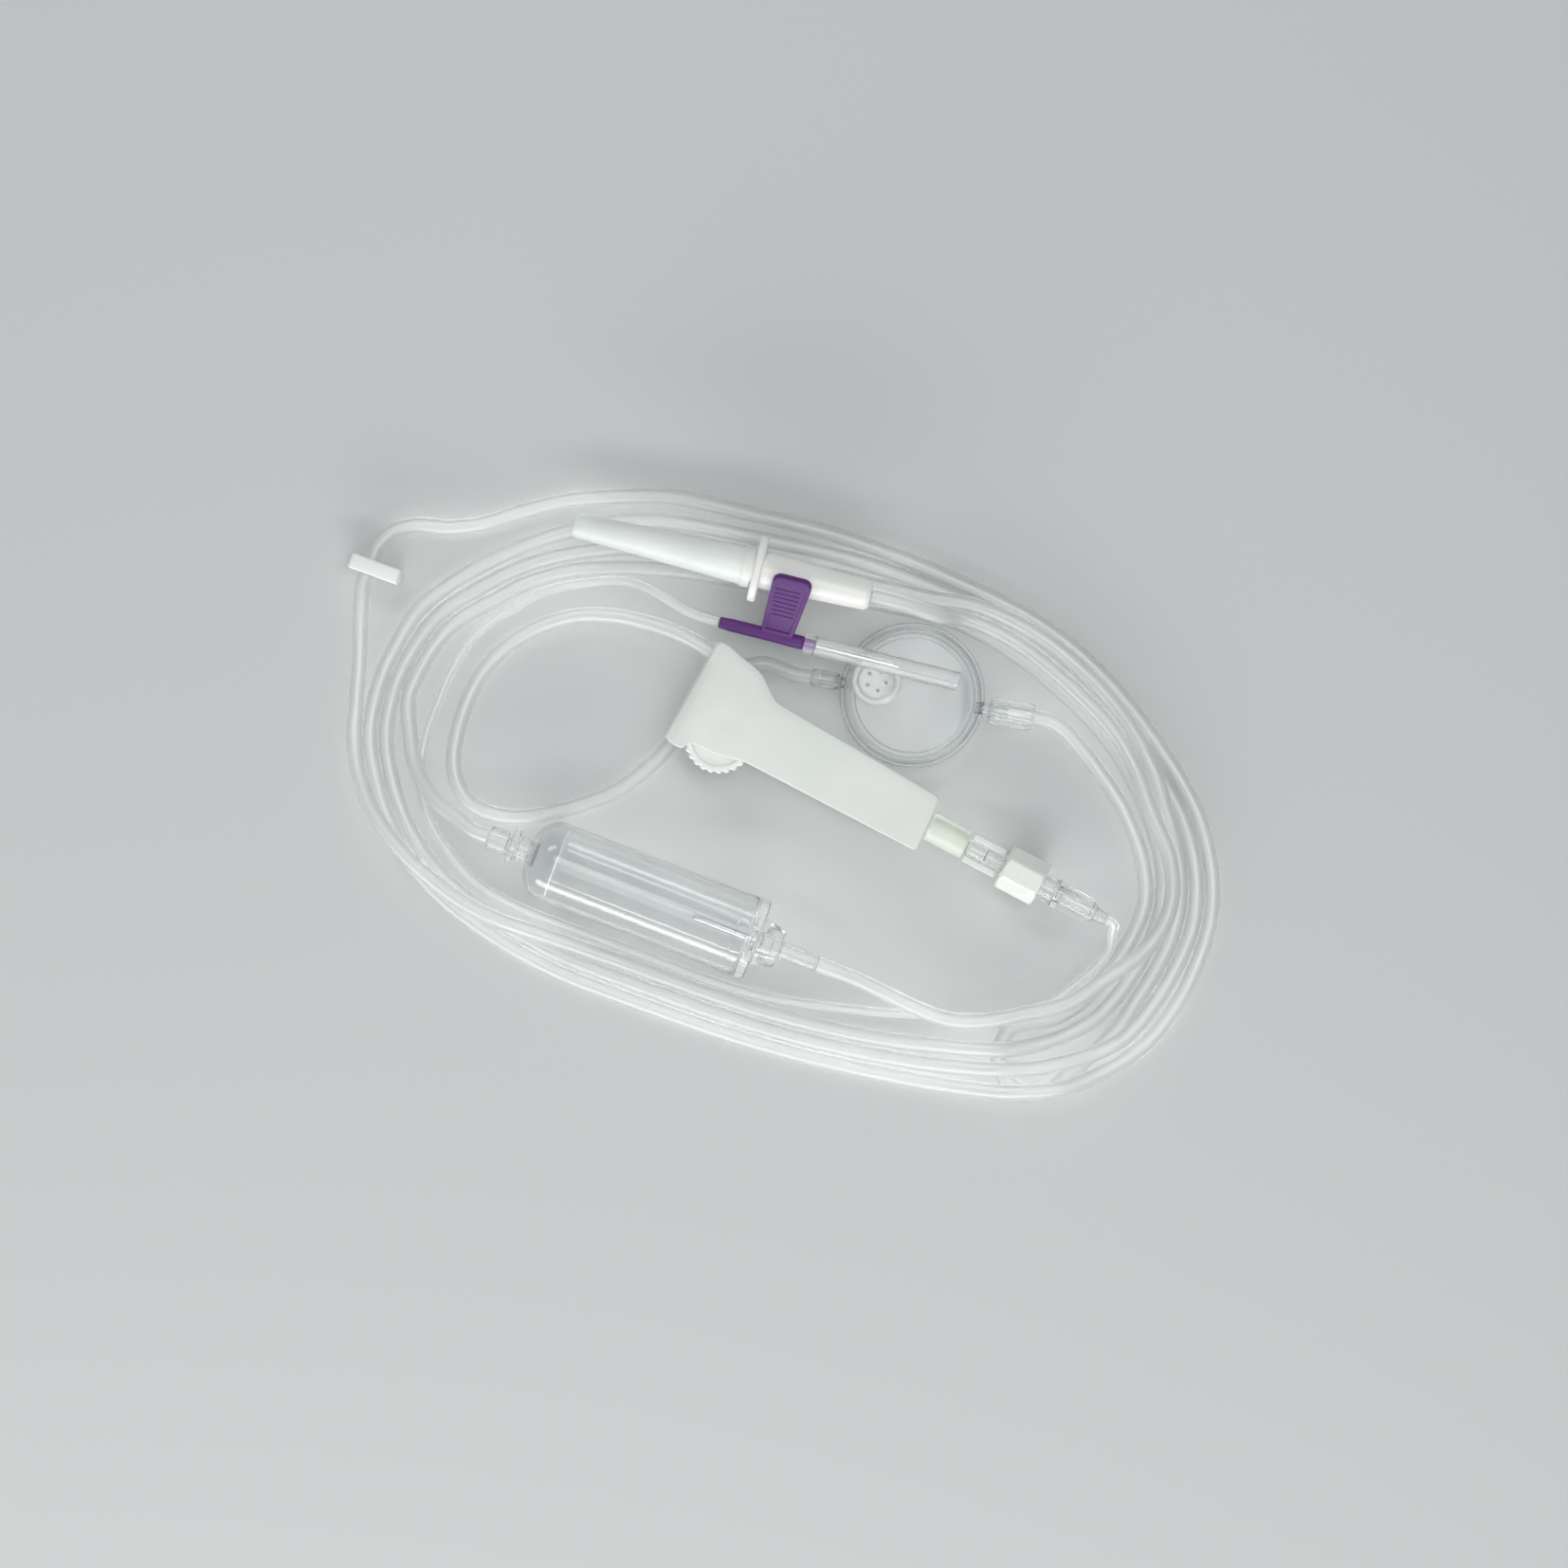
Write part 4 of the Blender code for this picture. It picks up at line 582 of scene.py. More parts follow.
def remap(tree, value, low, high, source=(0.0, 1.0)):
    node = tree.nodes.new("ShaderNodeMapRange")
    node.inputs["From Min"].default_value, node.inputs["From Max"].default_value = source
    tree.links.new(value, node.inputs["Value"])
    for label, end in (("To Min", low), ("To Max", high)):
        if isinstance(end, (int, float)):
            node.inputs[label].default_value = end
        else:
            tree.links.new(end, node.inputs[label])
    return node.outputs["Result"]


def math_node(tree, operation, first, second):
    node = tree.nodes.new("ShaderNodeMath")
    node.operation = operation
    for k, value in enumerate((first, second)):
        if isinstance(value, (int, float)):
            node.inputs[k].default_value = value
        else:
            tree.links.new(value, node.inputs[k])
    return node.outputs[0]


def moulded_group():
    """Faint waves of a moulded wall plus fine grain, and scuffs in the roughness."""
    group, inputs, outputs = new_group(
        "moulded_skin", [("Height", "NodeSocketFloat"), ("Roughness", "NodeSocketFloat"),
                         ("Patches", "NodeSocketFloat")],
        [("Grain", 900.0), ("Low", 0.2), ("High", 0.4)])
    coordinates = group.nodes.new("ShaderNodeTexCoord")
    place = coordinates.outputs["Object"]
    waves = noise_node(group, 110.0, 2.0, place)
    grain = noise_node(group, 900.0, 4.0, place)
    group.links.new(inputs.outputs["Grain"], grain.inputs["Scale"])
    patches = noise_node(group, 60.0, 5.0, place)
    height = math_node(group, "ADD", waves.outputs["Fac"],
                       math_node(group, "MULTIPLY", grain.outputs["Fac"], 0.25))
    rough = remap(group, patches.outputs["Fac"], inputs.outputs["Low"], inputs.outputs["High"], (0.3, 0.7))
    group.links.new(height, outputs.inputs["Height"])
    group.links.new(rough, outputs.inputs["Roughness"])
    group.links.new(patches.outputs["Fac"], outputs.inputs["Patches"])
    return group


def drawn_group():
    """Slow thickness changes and haze of extruded tubing."""
    group, inputs, outputs = new_group(
        "drawn_tube", [("Height", "NodeSocketFloat"), ("Roughness", "NodeSocketFloat"),
                       ("Haze", "NodeSocketFloat")], [("Low", 0.12), ("High", 0.3)])
    coordinates = group.nodes.new("ShaderNodeTexCoord")
    place = coordinates.outputs["Object"]
    slow = noise_node(group, 45.0, 2.0, place)
    fine = noise_node(group, 700.0, 3.0, place)
    height = math_node(group, "ADD", slow.outputs["Fac"],
                       math_node(group, "MULTIPLY", fine.outputs["Fac"], 0.1))
    haze = noise_node(group, 22.0, 4.0, place)
    rough = remap(group, haze.outputs["Fac"], inputs.outputs["Low"], inputs.outputs["High"], (0.3, 0.7))
    group.links.new(height, outputs.inputs["Height"])
    group.links.new(rough, outputs.inputs["Roughness"])
    group.links.new(haze.outputs["Fac"], outputs.inputs["Haze"])
    return group


MOULDED = moulded_group()
DRAWN = drawn_group()
print("texture groups:", MOULDED.name, DRAWN.name)

# %% [markdown]
# ## Each finish
#
# One function makes clear and milky plastics, and one makes solid ones. A milky plastic keeps a
# share of plain diffuse colour next to what shines through it.

# %% Finishes
FINISHES = {}


def bump(tree, shader, height, distance, strength=1.0):
    node = tree.nodes.new("ShaderNodeBump")
    node.inputs["Distance"].default_value = distance
    node.inputs["Strength"].default_value = strength
    tree.links.new(height, node.inputs["Height"])
    tree.links.new(node.outputs["Normal"], shader.inputs["Normal"])


def group_node(tree, group, **values):
    node = tree.nodes.new("ShaderNodeGroup")
    node.node_tree = group
    for label, value in values.items():
        node.inputs[label].default_value = value
    return node


def tinted(tree, shader, factor, first, second):
    """Base colour that drifts between two tints."""
    ramp = tree.nodes.new("ShaderNodeValToRGB")
    ramp.color_ramp.elements[0].position, ramp.color_ramp.elements[1].position = 0.35, 0.65
    ramp.color_ramp.elements[0].color = (*first, 1.0)
    ramp.color_ramp.elements[1].color = (*second, 1.0)
    tree.links.new(factor, ramp.inputs["Fac"])
    tree.links.new(ramp.outputs["Color"], shader.inputs["Base Color"])


def clear_finish(name, first, second, milk, rough, depth=0.000015, group=None, passing=0.85, ior=1.50):
    material, tree, shader, output = node_material(name, first, rough[0])
    skin = group_node(tree, group or MOULDED, Low=rough[0], High=rough[1])
    outputs = skin.outputs
    tree.links.new(outputs["Roughness"], shader.inputs["Roughness"])
    bump(tree, shader, outputs["Height"], depth)
    tinted(tree, shader, outputs["Haze" if group is DRAWN else "Patches"], first, second)
    shader.inputs["IOR"].default_value = ior
    shader.inputs["Transmission Weight"].default_value = 1.0 - milk
    open_air = tree.nodes.new("ShaderNodeBsdfTransparent")
    open_air.inputs["Color"].default_value = (*[0.5 + 0.5 * c for c in first], 1.0)
    rays = tree.nodes.new("ShaderNodeLightPath")
    mix = tree.nodes.new("ShaderNodeMixShader")
    tree.links.new(math_node(tree, "MULTIPLY", rays.outputs["Is Shadow Ray"], passing), mix.inputs[0])
    tree.links.new(shader.outputs["BSDF"], mix.inputs[1])
    tree.links.new(open_air.outputs["BSDF"], mix.inputs[2])
    tree.links.new(mix.outputs["Shader"], output.inputs["Surface"])
    FINISHES[name] = material
    return material


def solid_finish(name, first, second, rough, depth=0.000015, grain=900.0, coat=0.0, metallic=0.0):
    material, tree, shader, output = node_material(name, first, rough[0])
    skin = group_node(tree, MOULDED, Grain=grain, Low=rough[0], High=rough[1])
    tree.links.new(skin.outputs["Roughness"], shader.inputs["Roughness"])
    bump(tree, shader, skin.outputs["Height"], depth)
    tinted(tree, shader, skin.outputs["Patches"], first, second)
    shader.inputs["Metallic"].default_value = metallic
    shader.inputs["Coat Weight"].default_value = coat
    shader.inputs["Coat Roughness"].default_value = 0.12
    FINISHES[name] = material
    return material


def mesh_finish():
    """Woven filter mesh: two crossed waves press threads into the disc."""
    material, tree, shader, output = node_material("filter_mesh", (0.80, 0.83, 0.84), 0.5)
    coordinates = tree.nodes.new("ShaderNodeTexCoord")
    threads = []
    for axis in ("Y", "Z"):
        wave = tree.nodes.new("ShaderNodeTexWave")
        wave.bands_direction = axis
        wave.inputs["Scale"].default_value = 620.0
        tree.links.new(coordinates.outputs["Object"], wave.inputs["Vector"])
        threads.append(wave.outputs["Fac"])
    woven = math_node(tree, "MAXIMUM", *threads)
    tinted(tree, shader, woven, (0.52, 0.56, 0.57), (0.86, 0.88, 0.88))
    bump(tree, shader, woven, 0.00008)
    FINISHES["filter_mesh"] = material


clear_finish("clear_tubing", (0.88, 0.89, 0.885), (0.925, 0.935, 0.93), 0.12, (0.29, 0.36),
             0.000005, DRAWN, 0.92)
clear_finish("needle_tubing", (0.90, 0.91, 0.90), (0.94, 0.95, 0.94), 0.16, (0.29, 0.35),
             0.000004, DRAWN, 0.92)
clear_finish("milky_sheath", (0.80, 0.83, 0.81), (0.86, 0.88, 0.86), 0.62, (0.34, 0.46))
clear_finish("clear_guard", (0.96, 0.97, 0.97), (0.98, 0.99, 0.99), 0.10, (0.06, 0.12))
clear_finish("clear_shell", (0.89, 0.91, 0.915), (0.93, 0.945, 0.95), 0.03, (0.04, 0.10), 0.000007)
clear_finish("clear_connector", (0.93, 0.945, 0.945), (0.965, 0.97, 0.97), 0.05, (0.05, 0.12), 0.000006)
clear_finish("milky_grips", (0.80, 0.83, 0.80), (0.85, 0.87, 0.85), 0.60, (0.28, 0.40))
clear_finish("milky_vent", (0.88, 0.89, 0.89), (0.92, 0.93, 0.92), 0.34, (0.12, 0.22))
clear_finish("clear_chamber", (0.88, 0.895, 0.895), (0.92, 0.93, 0.93), 0.05, (0.04, 0.09), 0.000004)
clear_finish("milky_clamp", (0.76, 0.79, 0.76), (0.82, 0.84, 0.81), 0.72, (0.29, 0.39))
clear_finish("injection_rubber", (0.78, 0.82, 0.76), (0.83, 0.86, 0.80), 0.45, (0.29, 0.38))
solid_finish("spike_white", (0.83, 0.84, 0.80), (0.88, 0.88, 0.85), (0.26, 0.38), coat=0.15)
solid_finish("violet_wings", (0.082, 0.012, 0.150), (0.110, 0.018, 0.190), (0.42, 0.56), coat=0.0)
solid_finish("nut_white", (0.78, 0.79, 0.74), (0.84, 0.85, 0.80), (0.24, 0.36), coat=0.15)
solid_finish("roller_white", (0.80, 0.81, 0.78), (0.86, 0.86, 0.83), (0.30, 0.42))
solid_finish("slide_white", (0.86, 0.87, 0.86), (0.91, 0.91, 0.90), (0.30, 0.42))
clear_finish("membrane", (0.70, 0.71, 0.70), (0.80, 0.81, 0.80), 0.34, (0.40, 0.55), 0.00003)
solid_finish("needle_steel", (0.62, 0.63, 0.65), (0.70, 0.71, 0.72), (0.16, 0.26), 0.00001, metallic=1.0)
mesh_finish()


# Two milky finishes belong to the slot of the moulding that they are part of.
SLOTS = {"milky_grips": "clear_connector", "milky_vent": "clear_shell"}


def dress(thing, finish):
    """Gives a piece its finish and the name of the slot that the finish belongs to."""
    thing.data.materials.clear()
    thing.data.materials.append(FINISHES[finish])
    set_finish(thing, SLOTS.get(finish, finish))
    return thing


for tube in TUBES:
    dress(tube, tube["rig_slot"])
print("finishes:", len(FINISHES))
# %% [markdown]
# ## Tools for moulded shapes
#
# Most pieces are turned about their own axis. An outline of (along, radius) points gets small
# rounds at its corners, is turned in fine steps, and lands in its place through its frame. Other
# pieces are outlines given a thickness, with rounded edges.

# %% Shape tools
def link(thing):
    bpy.context.scene.collection.objects.link(thing)
    return thing


def from_bmesh(name, work, sharp=40.0):
    bmesh.ops.recalc_face_normals(work, faces=work.faces)
    mesh = bpy.data.meshes.new(name)
    work.to_mesh(mesh)
    work.free()
    mesh.shade_smooth()
    mesh.set_sharp_from_angle(angle=math.radians(sharp))
    return link(bpy.data.objects.new(name, mesh))


def soften(points, fillet, closed=False, cuts=3):
    """Rounds an outline's corners with short arcs. Points on the axis stay sharp."""
    made, count = [], len(points)
    for i, point in enumerate(points):
        here = Vector(point)
        if not closed and i in (0, count - 1):
            made.append(tuple(here))
            continue
        before, after = Vector(points[i - 1]), Vector(points[(i + 1) % count])
        back, on = before - here, after - here
        reach = min(fillet, back.length * 0.45, on.length * 0.45)
        if reach < 1e-6 or here.y == 0.0 or abs(back.angle(on) - math.pi) < 0.05:
            made.append(tuple(here))
            continue
        first, last = here + back.normalized() * reach, here + on.normalized() * reach
        for k in range(cuts + 1):
            t = k / cuts
            made.append(tuple(first * (1 - t) ** 2 + here * 2 * t * (1 - t) + last * t * t))
    return made


def turned_mesh(work, outline, matrix, steps=72, ridge=None):
    """Adds a turned solid about local X. ridge(angle, along, radius) is added to a radius."""
    rings = []
    for along, radius in outline:
        if radius <= 0.0:
            rings.append([work.verts.new(matrix @ Vector((along, 0.0, 0.0)))])
            continue
        ring = []
        for k in range(steps):
            angle = 2 * math.pi * k / steps
            reach = radius + (ridge(angle, along, radius) if ridge else 0.0)
            ring.append(work.verts.new(matrix @ Vector((along, reach * math.cos(angle),
                                                        reach * math.sin(angle)))))
        rings.append(ring)
    for a, b in zip(rings, rings[1:] + rings[:1]):
        if len(a) == 1 and len(b) == 1:
            continue
        for k in range(steps):
            m = (k + 1) % steps
            if len(a) == 1:
                work.faces.new((a[0], b[k], b[m]))
            elif len(b) == 1:
                work.faces.new((a[k], b[0], a[m]))
            else:
                work.faces.new((a[k], b[k], b[m], a[m]))


def turned(name, outline, place, fillet=0.0003, steps=72, offset=(0, 0, 0), ridge=None):
    """A turned solid whose outline is one closed loop round its wall."""
    work = bmesh.new()
    matrix = axes(place) @ Matrix.Translation(Vector(offset))
    ends_on_axis = outline[0][1] <= 0.0
    smooth = soften(outline, fillet, closed=not ends_on_axis)
    turned_mesh(work, smooth, matrix, steps, ridge)
    return from_bmesh(name, work)


def upright(name, outline, place, centre=(0.0, 0.0), fillet=0.0002, steps=96, ridge=None):
    """A turned solid about the place's own Z, from (height, radius) points."""
    work = bmesh.new()
    stand = Matrix.Rotation(math.radians(-90.0), 4, "Y")
    matrix = axes(place) @ Matrix.Translation(Vector((*centre, 0.0))) @ stand
    smooth = soften(outline, fillet, closed=outline[0][1] > 0.0)
    turned_mesh(work, smooth, matrix, steps, ridge)
    return from_bmesh(name, work)


def slab(name, outline, low, high, matrix, bevel=0.0003, segments=3, sharp=40.0):
    """An outline in local X and Y with a thickness along Z and rounded edges."""
    work = bmesh.new()
    base = [work.verts.new((x, y, low)) for x, y in outline]
    top = [work.verts.new((x, y, high)) for x, y in outline]
    work.faces.new(base)
    work.faces.new(top)
    for k in range(len(base)):
        m = (k + 1) % len(base)
        work.faces.new((base[k], base[m], top[m], top[k]))
    bmesh.ops.recalc_face_normals(work, faces=work.faces)
    if bevel:
        edges = [e for e in work.edges if e.calc_face_angle(0.0) > 0.5]
        bmesh.ops.bevel(work, geom=edges, offset=bevel, segments=segments, profile=0.5,
                        affect="EDGES", clamp_overlap=True)
    work.transform(matrix)
    return from_bmesh(name, work, sharp)


def cut(thing, cutter, operation="DIFFERENCE"):
    """Boolean with the result kept in the mesh; the cutter goes away."""
    modifier = thing.modifiers.new("cut", "BOOLEAN")
    modifier.operation, modifier.solver, modifier.object = operation, "EXACT", cutter
    result = bpy.data.meshes.new_from_object(
        thing.evaluated_get(bpy.context.evaluated_depsgraph_get()))
    thing.modifiers.clear()
    old, thing.data = thing.data, result
    bpy.data.meshes.remove(old)
    bpy.data.objects.remove(cutter, do_unlink=True)
    thing.data.shade_smooth()
    thing.data.set_sharp_from_angle(angle=math.radians(40.0))
    return thing


def merge(name, pieces):
    """Joins several meshes that are one moulding into one object."""
    work = bmesh.new()
    for piece in pieces:
        work.from_mesh(piece.data)
        bpy.data.objects.remove(piece, do_unlink=True)
    return from_bmesh(name, work)


def fit(thing, body, finish, *nodes):
    """Sets a piece's body and finish, and hides the CAD pieces it stands for."""
    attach(thing, body)
    dress(thing, finish)
    if nodes:
        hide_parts(*nodes)
    return thing


print("shape tools ready")
# %% [markdown]
# ## Spike, sheath and hub
#
# The sheath is a milky sleeve, so the shaft shows faintly through it. The spike is one white
# moulding: a slanted point with two channels, the shaft, an oval finger flange and the hub.

# %% Spike and sheath
SHEATH_LENGTH = 0.0431
FLANGE_START = SHEATH_LENGTH + GAP
FLANGE_END = FLANGE_START + 0.0020


def make_sheath():
    length = SHEATH_LENGTH
    outline = [
        (length, 0.0049), (length - 0.0020, 0.0049), (length - 0.0026, 0.0045), (0.0016, 0.00285),
        (0.0006, 0.00265), (0.0001, 0.0019), (0.0, 0.0), (0.0008, 0.0), (0.0014, 0.0015),
        (0.0040, 0.00205), (length - 0.0060, 0.0037), (length, 0.0039),
    ]
    work = bmesh.new()
    rounded = soften(outline[:7], 0.0005, cuts=4) + soften(outline[7:], 0.0004)
    grip = lambda angle, along, radius: (0.00007 * max(0.0, math.cos(24 * angle))
                                         if 0.031 < along < 0.040 and radius > 0.0039 else 0.0)
    turned_mesh(work, rounded, axes("spike"), 120, grip)
    return fit(from_bmesh("sheath", work), "sheath", "milky_sheath", "spike_sheath")


def make_spike():
    outline = [
        (HUB_END, 0.0), (HUB_END, 0.0026), (HUB_END, 0.0031), (HUB_END - 0.0010, 0.0036),
        (HUB_END - 0.0120, 0.0040), (FLANGE_END + 0.0004, 0.0044), (FLANGE_START + 0.0006, 0.0042),
        (FLANGE_START + 0.0002, 0.0034), (FLANGE_START - 0.0040, 0.0030),
        (FLANGE_START - 0.0047, 0.0026), (0.0120, 0.0017), (0.0045, 0.0008), (0.0036, 0.0),
    ]
    spike = turned("spike_moulding", outline, "spike", 0.0006, 72)
    flange = slab("flange", [(4.9e-3 * math.cos(a), 7.8e-3 * math.sin(a))
                             for a in (2 * math.pi * k / 72 for k in range(72))],
                  FLANGE_START, FLANGE_START + 0.0020,
                  axes("spike") @ Matrix(((0, 0, 1, 0), (0, 1, 0, 0), (-1, 0, 0, 0), (0, 0, 0, 1))),
                  bevel=0.0006)
    cut(spike, flange, "UNION")
    point = slab("point", [(-0.001, -0.004), (0.010, -0.004), (0.010, 0.004), (-0.001, 0.004)],
                 0.0, 0.004, axes("spike") @ Matrix.Translation((0.0, 0.0, 0.0006))
                 @ Matrix.Rotation(math.radians(-7.0), 4, "Y"), bevel=0.0)
    cut(spike, point)
    for side, radius in ((0.0005, 0.0007), (-0.0008, 0.00035)):
        bore = turned("bore", [(0.0075, 0.0), (0.0075, radius), (HUB_END + 0.001, radius),
                               (HUB_END + 0.001, 0.0)], "spike", 0.0, 24, (0.0, side, 0.0))
        cut(spike, bore)
    socket = turned("socket", [(HUB_END - 0.006, 0.0), (HUB_END - 0.006, 0.0019),
                               (HUB_END + 0.001, 0.0019), (HUB_END + 0.001, 0.0)], "spike", 0.0, 48)
    cut(spike, socket)
    return fit(spike, "set", "spike_white", "spike")


make_sheath()
make_spike()
print("sheath and spike")

# %% [markdown]
# ## Winged needle
#
# Both wings are folded together to one side. Each has a thicker rim, a shallow thumb field with
# fine ridges, and a soft root where it grows out of the body.

# %% Winged needle
def wing_outline(shrink=0.0):
    root, tip, corner, reach, centre, top = 0.00375, 0.0046, 0.0020, 0.0165, 0.0136, 0.0144
    root, tip, reach = root - shrink, tip - shrink, reach - shrink
    points = [(centre - root, 0.0002 + shrink * 2), (centre + root, 0.0002 + shrink * 2)]
    for cx, start in ((top + tip - corner, 0.0), (top - tip + corner, 90.0)):
        for k in range(9):
            angle = math.radians(start + 90.0 * k / 8)
            points.append((cx + corner * math.cos(angle), reach - corner + corner * math.sin(angle)))
    return points


def make_wings():
    wing_axes = axes("wing")
    body = turned("wing_body", [
        (0.0230, 0.0), (0.0230, 0.00105), (0.0226, 0.00135), (0.0201, 0.00135), (0.0200, 0.0016),
        (0.0172, 0.0016), (0.0120, 0.0015), (0.0030, 0.0015), (0.0, 0.0013), (0.0, 0.0),
    ], "needle", 0.0003, 48)
    parts = [body]
    for sign in (1.0, -1.0):
        near, far = sign * 0.00016, sign * 0.00080
        parts.append(slab("wing_plate", wing_outline(), min(near, far), max(near, far), wing_axes,
                          bevel=0.00022))
        rim = slab("wing_rim", wing_outline(), min(sign * 0.0003, sign * 0.00105),
                   max(sign * 0.0003, sign * 0.00105), wing_axes, bevel=0.00025)
        field = slab("wing_field", wing_outline(0.0009), -0.002, 0.002, wing_axes, bevel=0.0)
        parts.append(cut(rim, field))
        for k in range(7):
            y = 0.0062 + 0.00115 * k
            width = 0.0026 + 0.00006 * k
            ridge = [(0.0139 - width, y - 0.00022), (0.0139 + width, y - 0.00022),
                     (0.0139 + width, y + 0.00022), (0.0139 - width, y + 0.00022)]
            low, high = sorted((sign * 0.0006, sign * 0.00098))
            parts.append(slab("wing_ridge", ridge, low, high, wing_axes, bevel=0.00015))
    return fit(merge("wings", parts), "set", "violet_wings", "winged_hub")


def make_cannula():
    start, end, outer, inner = 0.0193, 0.0428, 0.0004, 0.00026
    needle = turned("steel_needle", [(end, outer), (start, outer), (start, inner), (end, inner)],
                    "needle", 0.0, 40)
    tip = slab("tip", [(-0.004, -0.002), (0.006, -0.002), (0.006, 0.002), (-0.004, 0.002)], 0.0, 0.003,
               axes("needle") @ Matrix.Translation((end - 0.0009, 0.0, 0.0))
               @ Matrix.Rotation(math.radians(20.0), 4, "Y"), bevel=0.0)
    return fit(cut(needle, tip), "set", "needle_steel", "cannula")


def make_guard():
    start, end, outer, inner = 0.0203, 0.0573, 0.0022, 0.0017
    ribs = lambda angle, along, radius: (0.00008 * max(0.0, math.cos(8 * angle))
                                         if radius > 0.0020 and along > 0.0235 else 0.0)
    guard = turned("guard", [
        (end, outer - 0.0001), (start + 0.0028, outer), (start + 0.0024, outer + 0.00012),
        (start, outer + 0.00012), (start, inner - 0.0002), (start + 0.0022, inner - 0.0002),
        (start + 0.0026, inner), (end, inner),
    ], "needle", 0.00012, 96, (0, 0, 0), ribs)
    return fit(guard, "guard", "clear_guard", "needle_guard")


make_wings()
make_cannula()
make_guard()
print("wings, needle and guard")
# %% [markdown]
# ## Disc filter
#
# Two clear shells close on each other round a membrane. The upper one carries a raised ring and a
# vent boss with five holes under its own small membrane. Two sockets take the tubes.

# %% Filter shells
VENT = (-0.0088, 0.0018)


def make_lower_shell():
    place = axes("filter")
    grips = lambda angle, along, radius: (0.00012 * max(0.0, math.cos(60 * angle))
                                          if radius > 0.0168 and 0.001 < along < 0.0046 else 0.0)
    shell = upright("lower_shell", [
        (0.0, 0.0), (0.0, 0.0158), (0.0006, 0.0168), (0.0010, 0.0170), (0.0046, 0.0170),
        (0.0054, 0.0168), (0.0054, 0.0160), (0.0044, 0.0152), (0.0012, 0.0152), (0.0012, 0.0),
    ], "filter", fillet=0.00025, steps=120, ridge=grips)
    pieces = []
    for side, z, radius, end in ((1, 0.0039, 0.0015, 0.0227), (-1, 0.0024, 0.0013, 0.0215)):
        bore = radius - 0.0006
        outline = [(side * 0.0148, radius), (side * end, radius), (side * end, bore),
                   (side * 0.0148, bore)]
        pieces.append(turned("stub", outline, "filter", 0.0002, 32, (0, 0, z)))
    for angle in range(0, 360, 45):
        turn = place @ Matrix.Rotation(math.radians(angle + 22.5), 4, "Z")
        pieces.append(slab("rib", [(0.003, -0.0003), (0.0142, -0.0003), (0.0142, 0.0003),
                                   (0.003, 0.0003)], 0.0013, 0.0026, turn, bevel=0.00012))
    return fit(merge("filter_bottom", [shell] + pieces), "set", "clear_shell", "filter_lower_shell")


def make_upper_shell():
    top = upright("filter_top", [
        (0.0057, 0.0), (0.0057, 0.0158), (0.0062, 0.0160), (0.0068, 0.0155), (0.0068, 0.0146),
        (0.0072, 0.0143), (0.0072, 0.0136), (0.0068, 0.0133), (0.0068, 0.0),
    ], "filter", fillet=0.00022, steps=120)
    seat = [(0.0050, 0.0), (0.0050, 0.0041), (0.0090, 0.0041), (0.0090, 0.0)]
    cut(top, upright("seat", seat, "filter", VENT, 0.0, 64))
    fit(top, "set", "clear_shell", "filter_upper_shell")
    vent = upright("filter_vent", [
        (0.0057, 0.0), (0.0057, 0.0041), (0.0068, 0.0041), (0.0068, 0.0058), (0.0074, 0.0058),
        (0.0077, 0.0055), (0.0077, 0.0047), (0.0074, 0.0044), (0.0066, 0.0041), (0.0066, 0.0),
    ], "filter", VENT, 0.0002, 64)
    for k in range(5):
        angle = 2 * math.pi * k / 5
        spot = (VENT[0] + 0.0023 * math.cos(angle), VENT[1] + 0.0023 * math.sin(angle))
        cut(vent, upright("hole", [(0.005, 0.0), (0.005, 0.00045), (0.009, 0.00045), (0.009, 0.0)],
                          "filter", spot, 0.0, 20))
    fit(vent, "set", "milky_vent", "filter_upper_shell")


def make_socket(name, node, side, start, end, radius, bore, z):
    step = 0.0016
    outline = [(side * start, radius * 0.82), (side * (start + step), radius),
               (side * (end - step), radius * 0.98), (side * end, radius * 0.90),
               (side * end, bore), (side * start, bore)]
    ribs = lambda angle, along, r: 0.00012 * max(0.0, math.cos(6 * angle)) if r > radius * 0.95 else 0.0
    socket = turned(name, outline, "filter", 0.0003, 72, (0, 0, z), ribs)
    return fit(socket, "set", "clear_connector", node)


make_lower_shell()
make_upper_shell()
make_socket("inlet_socket", "filter_inlet_socket", 1, 0.0183, 0.0289, 0.0032, 0.00155, 0.0039)
make_socket("outlet_socket", "filter_outlet_socket", -1, 0.0173, 0.0238, 0.0021, 0.00135, 0.0024)
print("filter shells and sockets")
# %% [markdown]
# ## Roller clamp
#
# The body is one milky moulding, open along its top side: a floor, two side walls and the head
# that holds the tube. Its edges are softly rounded. The ribbed wheel rides in two grooves.

# %% Roller clamp
CLAMP_THICK = 0.0124
CLAMP_WALL = 0.0013
WHEEL_START = (0.0114, 0.0055)
WHEEL_TRAVEL = 0.040
GROOVE_HALF = 0.0020
GROOVE_SLOPE = 1.3
CLAMP_OUTLINE = [
    (0.0002, 0.0), (2.2, -1.0), (5.0, -0.8), (5.6, 1.4), (12.6, 1.9), (18.9, 3.5), (21.1, 3.6),
    (63.9, 4.6), (62.7, 18.3), (38.6, 18.8), (18.8, 19.2), (16.6, 20.7), (13.0, 23.2), (9.7, 24.1),
    (6.1, 24.6), (2.9, 25.4), (0.3, 25.2),
]
CLAMP_TROUGH = [
    (2.2, -6.0), (70.0, -6.0), (70.0, 16.9), (38.6, 17.4), (18.1, 17.8), (15.8, 19.5),
    (12.6, 21.8), (9.5, 22.6), (5.9, 23.3), (2.2, 24.0),
]


def rounded(points, fillet):
    outline = soften([(x / 1000, y / 1000) for x, y in points], fillet, closed=True, cuts=4)
    return [tuple(p) for p in outline]


